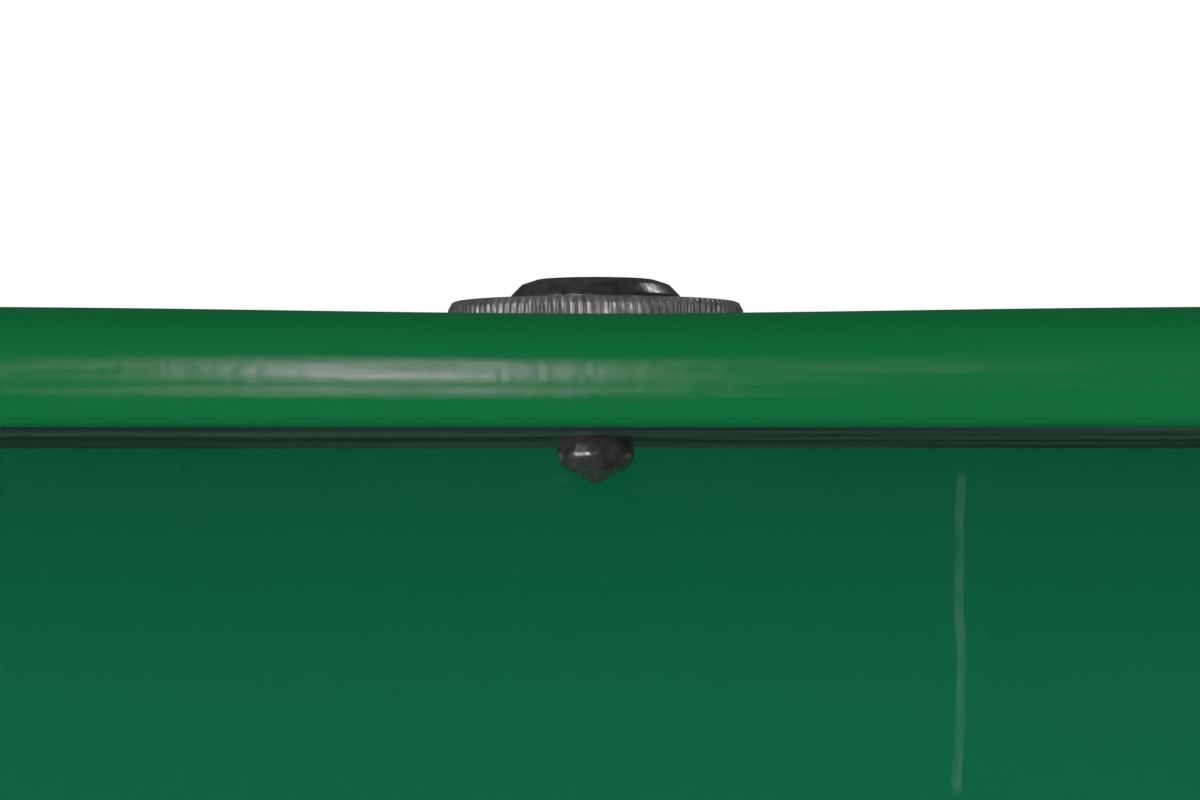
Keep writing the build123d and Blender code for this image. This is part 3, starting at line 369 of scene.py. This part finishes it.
# ---------------------------------------------------------------------------------------------
# Pedestal fasteners. Hex bolts and flange nuts of galvanised steel, which clamp the cabinet's
# floor to the column's cap plate.
def galvanised_steel():
    """Zinc in dull spangles, with white bloom here and there."""
    zinc = finish("zinc_coat", (0.42, 0.4242, 0.4284), 0.42, 1.0)
    cells = step(zinc, "TexVoronoi", {"Vector": places(zinc), "Scale": 90.0}).outputs["Color"]
    patch = step(zinc, "SeparateColor", {0: cells}).outputs[0]
    lay_colour(zinc, between(zinc, patch, 0.0, 1.0, 0.0, 0.55), (0.3024, 0.3108, 0.3234))
    lay_colour(zinc, between(zinc, clouds(zinc, 14.0, 4.0), 0.55, 0.78, 0.0, 0.5), (0.55, 0.55, 0.54))
    feed(zinc, between(zinc, patch, 0.0, 1.0, 0.32, 0.55), "Roughness")
    soften_edges(zinc, 0.0005)
    return zinc


zinc_coat = galvanised_steel()
for name in ("column_bolts", "column_nuts"):
    paint_node(name, zinc_coat)


# ---------------------------------------------------------------------------------------------
# Inner sheet metal. The cabinet's floor pan, angles, shelf and brackets, the door's wings and
# window retainer, and the housings behind the front: galvanised sheet, cut, folded and bare.
for name in ("cabinet_floor", "roof_angles", "sill_angle", "shelf", "shelf_brackets", "hinge_brackets",
             "window_retainer", "door_wings", "drawer_housing", "mech_chassis", "coin_chute",
             "rivet_spacers", "return_cup"):
    paint_node(name, zinc_coat)


# ---------------------------------------------------------------------------------------------
# Cabinet shell. Folded steel sheet, riveted and screwed together, in glossy green enamel. It is
# a little uneven, with specks of dust in the coat and chips along the folds.
enamel_green = (0.0042, 0.132, 0.038)


def green_enamel(name, peel=0.000012, colour=enamel_green):
    """Baked green enamel with a little orange peel, that deep in metres."""
    enamel = finish(name, colour, 0.13)
    enamel.node_tree.nodes["Principled BSDF"].inputs["Specular IOR Level"].default_value = 0.34
    darker = tuple(value * 0.9 for value in colour)
    lay_colour(enamel, between(enamel, clouds(enamel, 3.5), 0.4, 0.75, 0.0, 0.8), darker)
    soften_edges(enamel, 0.0012)
    lay_relief(enamel, clouds(enamel, 420.0, 2.0), peel)
    lay_relief(enamel, clouds(enamel, 9.0, 1.0), 0.00012)
    feed(enamel, between(enamel, clouds(enamel, 11.0, 5.0), 0.3, 0.75, 0.09, 0.2), "Roughness")
    return enamel


def specks(material, scale, size, share, colour):
    """Small specks, each of its own size, on that share of the cells."""
    dots = step(material, "TexVoronoi", {"Vector": places(material), "Scale": scale})
    chosen = step(material, "SeparateColor", {0: dots.outputs["Color"]}).outputs[0]
    near = between(material, dots.outputs["Distance"], size, size * 0.6)
    few = between(material, chosen, 1.0 - share, 1.001 - share)
    lay_colour(material, times(material, near, few), colour)


cabinet_enamel = green_enamel("cabinet_enamel")
specks(cabinet_enamel, 70.0, 0.06, 0.05, (0.10, 0.13, 0.03))
cabinet_chips = edge_mask(cabinet_enamel, 0.0018, 120.0, 0.6, 0.64)
lay_colour(cabinet_enamel, cabinet_chips, (0.07, 0.075, 0.07))
for name in ("side_panel_left", "side_panel_right", "back_panel", "lower_panel", "door_pan",
             "cash_drawer"):
    paint_node(name, cabinet_enamel)


# ---------------------------------------------------------------------------------------------
# Header panel. The same enamel on the fixed front under the hood, with one upright scratch
# and a few pale specks. Its copy here is brighter and bluer than the cabinet's, as painted
# light of the cool shade under the hood.
header_enamel_painted_light = green_enamel("header_enamel_painted_light", 0.000008, (0.0042, 0.150, 0.058))
specks(header_enamel_painted_light, 60.0, 0.024, 0.45, (0.17, 0.27, 0.04))
scratch_x, scratch_half, scratch_sway, fade = 0.0302, 0.00052, 0.0008, 0.001
scratch_top, scratch_foot = lip_foot - 0.0017, lip_foot - 0.0290
spot = step(header_enamel_painted_light, "SeparateXYZ", {0: places(header_enamel_painted_light)})
by_height = clouds(header_enamel_painted_light, 60.0, 2.0, (0.0, 0.0, 1.0))
wander = between(header_enamel_painted_light, by_height, 0.0, 1.0, -scratch_sway, scratch_sway)
across = step(header_enamel_painted_light, "Math", {0: spot.outputs["X"], 1: scratch_x}, operation="SUBTRACT").outputs[0]
across = step(header_enamel_painted_light, "Math", {0: across, 1: wander}, operation="ADD").outputs[0]
across = step(header_enamel_painted_light, "Math", {0: across}, operation="ABSOLUTE").outputs[0]
line = between(header_enamel_painted_light, across, scratch_half, scratch_half * 0.45)
above_foot = between(header_enamel_painted_light, spot.outputs["Z"], scratch_foot, scratch_foot + fade)
below_top = between(header_enamel_painted_light, spot.outputs["Z"], scratch_top, scratch_top - fade)
span = times(header_enamel_painted_light, above_foot, below_top)
grain = clouds(header_enamel_painted_light, 700.0, 3.0, (1.0, 1.0, 0.25))
broken = between(header_enamel_painted_light, grain, 0.35, 0.6, 0.25, 0.85)
scratch = times(header_enamel_painted_light, times(header_enamel_painted_light, line, span), broken)
lay_colour(header_enamel_painted_light, scratch, (0.045, 0.20, 0.11))
paint_node("header_panel", header_enamel_painted_light)


# ---------------------------------------------------------------------------------------------
# Roof cover. One pressed sheet: a flat top, a rim with a rounded upper bend and a shallow
# crease, and a return flange. The rivets pull the front of it down a little.
roof_skin = 0.0015
rim_tall = roof_top - lip_foot
corner = 0.012
rivet_x = 0.170
# How the rim's face leans at each height, from the top bend down: share of the height, degrees.
rim_lean = ((0.0, 90), (0.015, 76), (0.04, 60), (0.10, 42), (0.19, 25), (0.29, 11), (0.37, 4.5),
            (0.43, 2.2), (0.50, 0.9), (0.58, -0.6), (0.622, -2.4), (0.642, -4.6), (0.66, -4.4),
            (0.675, -1.5), (0.69, 0.3), (0.71, 0.5), (0.73, -1.2), (0.755, -3.8), (0.80, -7.0),
            (0.86, -12), (0.92, -25), (0.96, -46), (0.99, -72), (1.0, -90))


def outward(place):
    """Which way is out, seen from above, at a place on the roof's rounded outline."""
    inner = Vector((max(min(place.x, roof_half_x - corner), corner - roof_half_x),
                    max(min(place.y, roof_half_y - corner), corner - roof_half_y)))
    return (Vector((place.x, place.y)) - inner).normalized()


def draw_on(form, ring, out, rise):
    """Draws the sheet on from a ring of edges, outwards and upwards, and returns the new ring."""
    grown = bmesh.ops.extrude_edge_only(form, edges=ring)["geom"]
    for vert in [g for g in grown if isinstance(g, bmesh.types.BMVert)]:
        away = outward(vert.co)
        vert.co += Vector((away.x * out, away.y * out, rise))
    return [g for g in grown if isinstance(g, bmesh.types.BMEdge)]


roof_half_x = (roof_high.x - roof_low.x) / 2
roof_half_y = (roof_high.y - roof_low.y) / 2
roof_form = bmesh.new()
bmesh.ops.create_grid(roof_form, x_segments=1, y_segments=1, size=1.0,
                      matrix=Matrix.Diagonal((roof_half_x, roof_half_y, 1.0, 1.0)))
bmesh.ops.bevel(roof_form, geom=roof_form.verts[:], offset=corner, offset_type="OFFSET", segments=10,
                profile=0.5, affect="VERTICES", material=-1)
front_cuts, side_cuts, touching = 159, 23, 1e-5
for axis, edge_at, cuts in (("y", -roof_half_y, front_cuts), ("y", roof_half_y, side_cuts),
                            ("x", roof_half_x, side_cuts), ("x", -roof_half_x, side_cuts)):
    side = [e for e in roof_form.edges
            if all(abs(getattr(v.co, axis) - edge_at) < touching for v in e.verts)]
    bmesh.ops.subdivide_edges(roof_form, edges=side, cuts=cuts)
bmesh.ops.delete(roof_form, geom=roof_form.faces[:], context="FACES_ONLY")

rim_steps = []
for (share, lean), (next_share, next_lean) in zip(rim_lean, rim_lean[1:]):
    drop = (next_share - share) * rim_tall
    middle = math.radians(min(max((lean + next_lean) / 2, -80), 80))
    rim_steps.append((drop * math.tan(middle), -drop))
reach, widest = 0.0, 0.0
for out, drop in rim_steps:
    reach += out
    widest = max(widest, reach)
for vert in roof_form.verts:
    away = outward(vert.co)
    vert.co = Vector((vert.co.x - away.x * widest, vert.co.y - away.y * widest, roof_top))
first_ring = roof_form.edges[:]
ring = first_ring
return_flange = [(-0.0012, 0.0), (-0.0015, 0.0)]
for out, drop in rim_steps + return_flange:
    ring = draw_on(roof_form, ring, out, drop)
ring = first_ring
for inwards in (0.002, 0.004):
    ring = draw_on(roof_form, ring, -inwards, 0.0)
bmesh.ops.edgeloop_fill(roof_form, edges=ring)
bmesh.ops.recalc_face_normals(roof_form, faces=roof_form.faces)
if max(roof_form.faces, key=lambda f: f.calc_area()).normal.z < 0:
    bmesh.ops.reverse_faces(roof_form, faces=roof_form.faces)
# Between the rivets the front edge stands a little proud of the rest.
proud, rivet_hold, front_depth = 0.00060, 0.034, 0.0085
for vert in roof_form.verts:
    near_front = max(0.0, 1.0 - (vert.co.y - lip_y) / front_depth)
    held = sum(math.exp(-((vert.co.x - x) / rivet_hold) ** 2) for x in (-rivet_x, 0.0, rivet_x))
    share = (vert.co.z - lip_foot) / rim_tall
    vert.co.z += proud * (1.0 - min(held, 1.0)) * min(near_front * 2, 1.0) * share

# This copy of the green enamel is lighter than the cabinet's: the extra brightness is painted light on the
# lip.
roof_enamel_painted_light = green_enamel("roof_enamel_painted_light", 0.00001, (0.0045, 0.160, 0.046))
streaks = clouds(roof_enamel_painted_light, 10.0, 6.0, (6.0, 30.0, 150.0))
feed(roof_enamel_painted_light, between(roof_enamel_painted_light, streaks, 0.3, 0.72, 0.075, 0.15), "Roughness")
specks(roof_enamel_painted_light, 90.0, 0.05, 0.04, (0.03, 0.16, 0.05))
roof_skin_piece = riding_piece(roof_form, "roof_skin", roof_enamel_painted_light, "cabinet")
wall = roof_skin_piece.modifiers.new("wall", "SOLIDIFY")
wall.thickness = roof_skin
wall.offset = -1.0
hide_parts("roof_cover")


# ---------------------------------------------------------------------------------------------
# Hood underplate. A steel bar, rolled and brushed along its length, that closes the hood from
# below. The rivets hold it. Its dark green-grey colour is painted shade under the hood, and its
# lighter streaks are the brushed grain with painted streaks of reflection on it.
# The dark green-grey base colour is painted shade under the hood.
underplate_shade = finish("underplate_painted_shade", (0.010, 0.024, 0.018), 0.5)
# The lighter streaks follow the rolled and drawn grain and are painted streaks of reflection.
rolled_grain_and_sheen = clouds(underplate_shade, 1.0, 3.0, (11.0, 120.0, 400.0), 0.6)
lay_colour(underplate_shade, between(underplate_shade, rolled_grain_and_sheen, 0.40, 0.64), (0.070, 0.105, 0.092))
drawn_grain_and_sheen = clouds(underplate_shade, 1.0, 5.0, (30.0, 520.0, 900.0), 0.7)
lay_colour(underplate_shade, between(underplate_shade, drawn_grain_and_sheen, 0.50, 0.74, 0.0, 0.7), (0.16, 0.19, 0.175))
lay_relief(underplate_shade, rolled_grain_and_sheen, 0.00012)
lay_relief(underplate_shade, drawn_grain_and_sheen, 0.00003)
paint_node("hood_underplate", underplate_shade)


# ---------------------------------------------------------------------------------------------
# Hood rivets. Dark plated steel: a low chamfered head, and below the underplate the swollen
# tail with the end of its mandrel. They clamp the hood, the spacers and the underplate.
def plated_steel(name, tone, rough, scale=400.0, bare=1.0):
    """Plated steel, clouded and faintly pitted. The less bare, the duller."""
    plate = finish(name, (tone, tone * 0.965, tone * 0.97), rough, bare)
    lay_colour(plate, between(plate, clouds(plate, scale, 5.0), 0.46, 0.70, 0.0, 0.75),
               (tone * 0.42, tone * 0.41, tone * 0.43))
    sheen = between(plate, clouds(plate, scale * 1.7, 4.0), 0.3, 0.75, rough * 0.7, rough * 1.6)
    feed(plate, sheen, "Roughness")
    lay_relief(plate, clouds(plate, scale * 4, 3.0), 0.000012)
    return plate


def turn(form, outline, softened, place, steps):
    """Turns a piece on a lathe: its outline of radii and heights, corners broken, spun at a place."""
    line = [form.verts.new((place.x + radius, place.y, height)) for radius, height in outline]
    edges = [form.edges.new(pair) for pair in zip(line, line[1:])]
    worked = bmesh.ops.bevel(form, geom=line[1:-1], offset=softened, offset_type="OFFSET", segments=4,
                             profile=0.5, affect="VERTICES", material=-1)
    outer = {e for v in worked["verts"] for e in v.link_edges} | {e for e in edges if e.is_valid}
    ends = {v for e in outer for v in e.verts}
    bmesh.ops.spin(form, geom=list(ends) + list(outer), cent=place, axis=(0.0, 0.0, 1.0),
                   dvec=(0.0, 0.0, 0.0), angle=math.tau, steps=steps, use_merge=True, use_duplicate=False)


dark_plate = plated_steel("dark_plate", 0.13, 0.24, 900.0, 0.72)
head_low, head_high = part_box("hood_rivets")
under_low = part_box("hood_underplate")[0]
washer_low, washer_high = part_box("hood_rivet_washers")
rivet_y = (washer_low.y + washer_high.y) / 2
rivet_foot = under_low.z
head_top, shoulder, skirt, head_radius = 0.0047, 0.0060, 0.0069, 0.0070
head_outline = [(0.0, head_high.z), (head_top, head_high.z), (shoulder, head_high.z - 0.00042),
                (skirt, washer_high.z + 0.0005), (head_radius, washer_high.z), (0.0, washer_high.z)]
neck_sunk = 0.0003
tail_outline = [(0.0, rivet_foot + neck_sunk), (0.0023, rivet_foot + neck_sunk),
                (0.00285, rivet_foot + 0.0001), (0.00308, rivet_foot - 0.0007)]
belly, belly_drop, belly_depth = 0.00315, 0.0014, 0.0018
for part in range(8):
    swing = math.radians(8.0 * part)
    below_belly = belly_drop + belly_depth * math.sin(swing)
    tail_outline.append((belly * math.cos(swing) ** 0.72, rivet_foot - below_belly))
# The end of the mandrel: a blunt cone.
tail_outline += [(0.0017, head_low.z + 0.00082), (0.0006, head_low.z + 0.00015), (0.0, head_low.z)]
rivet_form = bmesh.new()
for x in (-rivet_x, 0.0, rivet_x):
    turn(rivet_form, head_outline, 0.00014, Vector((x, rivet_y, 0.0)), 72)
    turn(rivet_form, tail_outline, 0.00006, Vector((x, rivet_y, 0.0)), 72)
bmesh.ops.remove_doubles(rivet_form, verts=rivet_form.verts, dist=0.000005)
bmesh.ops.recalc_face_normals(rivet_form, faces=rivet_form.faces)
rivet_piece = riding_piece(rivet_form, "blind_rivets", dark_plate, "cabinet")
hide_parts("hood_rivets")


# ---------------------------------------------------------------------------------------------
# Knurled washers. Turned steel discs under the rivet heads, with straight teeth rolled round
# the rim and the upper edge broken, plated like the rivets but lighter.
washer_plate = plated_steel("washer_plate", 0.20, 0.40, 700.0, 0.55)
teeth, tooth_depth, facets = 110, 0.00016, 6
washer_radius = (washer_high.y - washer_low.y) / 2
washer_hole = 0.0024
# Each turn of the rim: its radius, its height and how much of the tooth it carries.
rim_turns = ((washer_radius - 0.00050, washer_high.z, 0.0),
             (washer_radius - 0.00030, washer_high.z - 0.00010, 0.0),
             (washer_radius - 0.00008, washer_high.z - 0.00052, 0.4),
             (washer_radius, washer_high.z - 0.00064, 1.0),
             (washer_radius, washer_low.z, 1.0),
             (washer_hole, washer_low.z, 0.0))
washer_form = bmesh.new()
for x in (-rivet_x, 0.0, rivet_x):
    at_rivet = Matrix.Translation((x, rivet_y, washer_high.z))
    disc = bmesh.ops.create_circle(washer_form, cap_ends=False, segments=teeth * facets,
                                   radius=washer_hole, matrix=at_rivet)
    ring = list({e for v in disc["verts"] for e in v.link_edges})
    inner_ring = ring
    for radius, height, bite in rim_turns:
        grown = bmesh.ops.extrude_edge_only(washer_form, edges=ring)["geom"]
        for vert in [g for g in grown if isinstance(g, bmesh.types.BMVert)]:
            turned = math.atan2(vert.co.y - rivet_y, vert.co.x - x)
            reach = radius - tooth_depth * bite * math.sin(turned * teeth / 2) ** 2
            vert.co = Vector((x + reach * math.cos(turned), rivet_y + reach * math.sin(turned), height))
        ring = [g for g in grown if isinstance(g, bmesh.types.BMEdge)]
    bmesh.ops.bridge_loops(washer_form, edges=ring + inner_ring)
bmesh.ops.recalc_face_normals(washer_form, faces=washer_form.faces)
washer_piece = riding_piece(washer_form, "knurled_washers", washer_plate, "cabinet")
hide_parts("hood_rivet_washers")
# The slim lights reach only the hood and its fasteners, and the right-hand box leaves out the rivets.
for piece in (roof_skin_piece, rivet_piece, washer_piece):
    hood_front.objects.link(piece)
for piece in (rivet_piece, washer_piece):
    hood_fasteners.objects.link(piece)
all_but_rivets.objects.link(rivet_piece)
all_but_rivets.collection_objects[0].light_linking.link_state = "EXCLUDE"


# ---------------------------------------------------------------------------------------------
# Chromed fittings. The door handle, the lock's body, the return button and the eye for the
# security chain: turned or bent steel, polished and chromed.
chrome_plate = plated_steel("chrome_plate", 0.62, 0.14)
for name in ("door_handle", "lock_body", "return_button", "chain_eye"):
    paint_node(name, chrome_plate)


# ---------------------------------------------------------------------------------------------
# Small bright parts. Rods, pins, screws, rivets and the coin mechanism's levers: steel turned or
# stamped, then zinc plated and a little dulled by handling.
bright_plate = plated_steel("bright_plate", 0.5, 0.3, 220.0)
for name in ("hinge_rod", "pivot_pins", "retainer_studs", "latch_lever", "coin_rocker", "return_lever",
             "lock_plug", "back_panel_rivets", "wall_screws", "card_frame_rivets", "faceplate_screws",
             "handle_screws", "return_flap", "hinge_rod_clips"):
    paint_node(name, bright_plate)


# ---------------------------------------------------------------------------------------------
# Door springs. Two torsion springs of oiled music wire round the hinge rod: one leg goes down
# through the sill, the other lies under the door's bottom flange.
def spring_wire_steel():
    """Drawn steel wire with a brown film of old oil."""
    wire = finish("spring_wire_steel", (0.24, 0.235, 0.23), 0.30, 1.0)
    lay_colour(wire, between(wire, clouds(wire, 260.0, 4.0), 0.45, 0.72, 0.0, 0.8), (0.10, 0.085, 0.07))
    feed(wire, between(wire, clouds(wire, 420.0, 3.0), 0.3, 0.7, 0.22, 0.46), "Roughness")
    return wire


def coil_wire(form, start, centre, axis, per_turn, turns, wire_radius, segments=10, steps=20):
    """Winds a wire: a round section at start, carried round an axis while it moves along it."""
    section = bmesh.ops.create_circle(form, cap_ends=False, segments=segments, radius=wire_radius,
                                      matrix=Matrix.Translation(start))["verts"]
    edges = list({e for v in section for e in v.link_edges})
    count = round(turns * steps)
    wound = bmesh.ops.spin(form, geom=section + edges, cent=centre, axis=axis, dvec=per_turn / steps,
                           angle=turns * math.tau, steps=count, use_merge=False, use_duplicate=False)
    last = [g for g in wound["geom_last"] if isinstance(g, bmesh.types.BMEdge)]
    return edges, last


def draw_leg(form, edges, away):
    """Draws a wire's end straight on, and closes it."""
    grown = bmesh.ops.extrude_edge_only(form, edges=edges)["geom"]
    bmesh.ops.translate(form, vec=away, verts=[g for g in grown if isinstance(g, bmesh.types.BMVert)])
    bmesh.ops.holes_fill(form, edges=[g for g in grown if isinstance(g, bmesh.types.BMEdge)], sides=0)


oiled_wire = spring_wire_steel()
spring_low, spring_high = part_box("door_springs")
rod_low, rod_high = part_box("hinge_rod")
hinge_y, hinge_z = (rod_low.y + rod_high.y) / 2, (rod_low.z + rod_high.z) / 2
door_wire = 0.001
coil_radius = spring_high.z - hinge_z - door_wire
coil_pitch, coil_turns = 0.0022, 8.25
outer_x = spring_high.x - door_wire
fixed_leg = Vector((0.0, 0.0, spring_low.z - hinge_z))
moving_leg = Vector((0.0, spring_low.y - hinge_y, 0.0))
for hand, side in (("right", 1.0), ("left", -1.0)):
    spring_form = bmesh.new()
    first, last = coil_wire(spring_form, Vector((side * outer_x, hinge_y + coil_radius, hinge_z)),
                            Vector((side * outer_x, hinge_y, hinge_z)), (1.0, 0.0, 0.0),
                            Vector((-side * coil_pitch, 0.0, 0.0)), coil_turns, door_wire)
    draw_leg(spring_form, first, fixed_leg)
    draw_leg(spring_form, last, moving_leg)
    bmesh.ops.recalc_face_normals(spring_form, faces=spring_form.faces)
    spring = smooth_piece(spring_form, "door_spring_" + hand, oiled_wire)
    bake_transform(spring)
    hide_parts("door_springs")


# ---------------------------------------------------------------------------------------------
# Return spring. A compression spring on the return button's stem, between the button's flange
# and the guide.
back_low, back_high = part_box("return_spring")
button_at = (back_low + back_high) / 2
back_wire = 0.0005
back_turns = 6
back_radius = (back_high.x - back_low.x) / 2 - back_wire
back_pitch = (back_high.y - back_low.y - 2 * back_wire) / back_turns
back_form = bmesh.new()
back_start = Vector((button_at.x + back_radius, back_high.y - back_wire, button_at.z))
back_axis_at = Vector((button_at.x, back_start.y, button_at.z))
first, last = coil_wire(back_form, back_start, back_axis_at, (0.0, -1.0, 0.0),
                        Vector((0.0, -back_pitch, 0.0)), back_turns, back_wire, 8, 24)
for loop in (first, last):
    bmesh.ops.holes_fill(back_form, edges=loop, sides=0)
bmesh.ops.recalc_face_normals(back_form, faces=back_form.faces)
back_spring = riding_piece(back_form, "button_return_spring", oiled_wire, "cabinet", 80.0)
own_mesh(back_spring)
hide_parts("return_spring")


# ---------------------------------------------------------------------------------------------
# Rubber. Black moulded rubber for the window's gasket and the door's bumpers, dusty and a
# little bloomed.
def moulded_rubber():
    """Black rubber, matt, with dust in its grain."""
    rubber = finish("moulded_rubber", (0.014, 0.014, 0.015), 0.62)
    dust = between(rubber, clouds(rubber, 30.0, 6.0), 0.45, 0.75, 0.0, 0.5)
    lay_colour(rubber, dust, (0.045, 0.044, 0.042))
    lay_relief(rubber, clouds(rubber, 1400.0, 3.0), 0.00004)
    feed(rubber, between(rubber, clouds(rubber, 60.0, 4.0), 0.3, 0.7, 0.5, 0.78), "Roughness")
    return rubber


black_rubber = moulded_rubber()
for name in ("window_gasket", "door_bumpers"):
    paint_node(name, black_rubber)


# ---------------------------------------------------------------------------------------------
# Clear sheet. Acrylic for the door's window and the card's cover, cut to size and held by their
# frames, with hairline wiping scratches and a thin film of dust.
def clear_acrylic():
    """Clear sheet with hairlines from wiping and a film of dust."""
    sheet = finish("clear_acrylic", (0.93, 0.965, 0.955), 0.04)
    shader = sheet.node_tree.nodes["Principled BSDF"]
    shader.inputs["Transmission Weight"].default_value = 1.0
    shader.inputs["IOR"].default_value = 1.2
    hairs = clouds(sheet, 60.0, 6.0, (9.0, 1.0, 0.6), 0.75)
    feed(sheet, between(sheet, hairs, 0.56, 0.70, 0.03, 0.22), "Roughness")
    lay_relief(sheet, hairs, 0.00001)
    lay_colour(sheet, between(sheet, clouds(sheet, 5.0, 6.0), 0.5, 0.8, 0.0, 0.25), (0.78, 0.80, 0.78))
    return sheet


acrylic = clear_acrylic()
for name in ("window_pane", "card_cover"):
    paint_node(name, acrylic)


# ---------------------------------------------------------------------------------------------
# Rack card. A printed card with plain bars and no words, held behind the clear cover in a black
# powder-coated frame riveted to the lower front. The display bail has the same black coat.
def printed_card():
    """Off-white card, printed in plain bars of green, ochre and grey, a little yellowed."""
    low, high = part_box("display_card")
    card = finish("printed_card", (0.70, 0.68, 0.60), 0.55)
    at = step(card, "SeparateXYZ", {0: places(card)})
    wide, tall = high.x - low.x, high.z - low.z
    deep_green, green = (0.012, 0.10, 0.035), (0.02, 0.17, 0.07)
    ochre, grey = (0.55, 0.40, 0.05), (0.10, 0.10, 0.09)
    # Each bar: its foot and top as shares of the height, its ends as shares of the width, its ink.
    bars = ((0.58, 0.93, -0.46, 0.46, deep_green), (0.44, 0.52, -0.46, 0.20, ochre),
            (0.34, 0.37, -0.46, 0.46, grey), (0.08, 0.27, 0.14, 0.46, green),
            (0.22, 0.25, -0.46, 0.06, grey), (0.10, 0.13, -0.46, -0.08, grey))
    crisp = 0.0004
    for foot, top, left, right, ink in bars:
        foot_z, top_z = low.z + foot * tall, low.z + top * tall
        left_x, right_x = left * wide, right * wide
        in_height = times(card, between(card, at.outputs["Z"], foot_z, foot_z + crisp),
                          between(card, at.outputs["Z"], top_z, top_z - crisp))
        in_width = times(card, between(card, at.outputs["X"], left_x, left_x + crisp),
                         between(card, at.outputs["X"], right_x, right_x - crisp))
        lay_colour(card, times(card, in_height, in_width), ink)
    lay_colour(card, between(card, clouds(card, 9.0, 5.0), 0.5, 0.8, 0.0, 0.35), (0.62, 0.58, 0.44))
    lay_relief(card, clouds(card, 1500.0, 3.0), 0.00002)
    return card


paint_node("card_frame", black_coat)
paint_node("display_card", printed_card())
paint_node("display_bail", black_coat)


# ---------------------------------------------------------------------------------------------
# Front plate of the coin mechanism. A die-cast zinc plate, linished upright, with grime in its
# corners, and a small enamelled price plate fixed to it.
def linished_casting():
    """Zinc casting with the upright strokes of the belt and dirt in the low spots."""
    cast = finish("linished_casting", (0.46, 0.46, 0.455), 0.34, 1.0)
    strokes = clouds(cast, 1.0, 5.0, (2600.0, 1.0, 22.0), 0.7)
    lay_colour(cast, between(cast, strokes, 0.45, 0.75, 0.0, 0.6), (0.26, 0.26, 0.265))
    lay_colour(cast, between(cast, clouds(cast, 28.0, 6.0), 0.55, 0.8, 0.0, 0.7), (0.20, 0.19, 0.175))
    feed(cast, between(cast, strokes, 0.3, 0.75, 0.26, 0.46), "Roughness")
    soften_edges(cast, 0.0007)
    lay_relief(cast, strokes, 0.00002)
    return cast


def price_enamel():
    """Yellow enamel with a fine black border, chipped at its edges."""
    enamel = finish("price_enamel", (0.72, 0.52, 0.05), 0.22)
    low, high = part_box("price_plate")
    at = step(enamel, "SeparateXYZ", {0: places(enamel)})
    middle = (low + high) / 2
    border, line, crisp = 0.0022, 0.0006, 0.0002
    for axis, half in (("X", (high.x - low.x) / 2), ("Z", (high.z - low.z) / 2)):
        centre = getattr(middle, axis.lower())
        off = step(enamel, "Math", {0: at.outputs[axis], 1: centre}, operation="SUBTRACT").outputs[0]
        off = step(enamel, "Math", {0: off}, operation="ABSOLUTE").outputs[0]
        inner, outer = half - border, half - border + line
        drawn_line = times(enamel, between(enamel, off, inner, inner + crisp),
                           between(enamel, off, outer, outer - crisp))
        lay_colour(enamel, drawn_line, (0.02, 0.02, 0.02))
    chips = edge_mask(enamel, 0.0012, 500.0, 0.52, 0.58)
    lay_colour(enamel, chips, (0.12, 0.11, 0.10))
    lay_relief(enamel, clouds(enamel, 900.0, 2.0), 0.00001)
    return enamel


paint_node("coin_faceplate", linished_casting())
paint_node("price_plate", price_enamel())
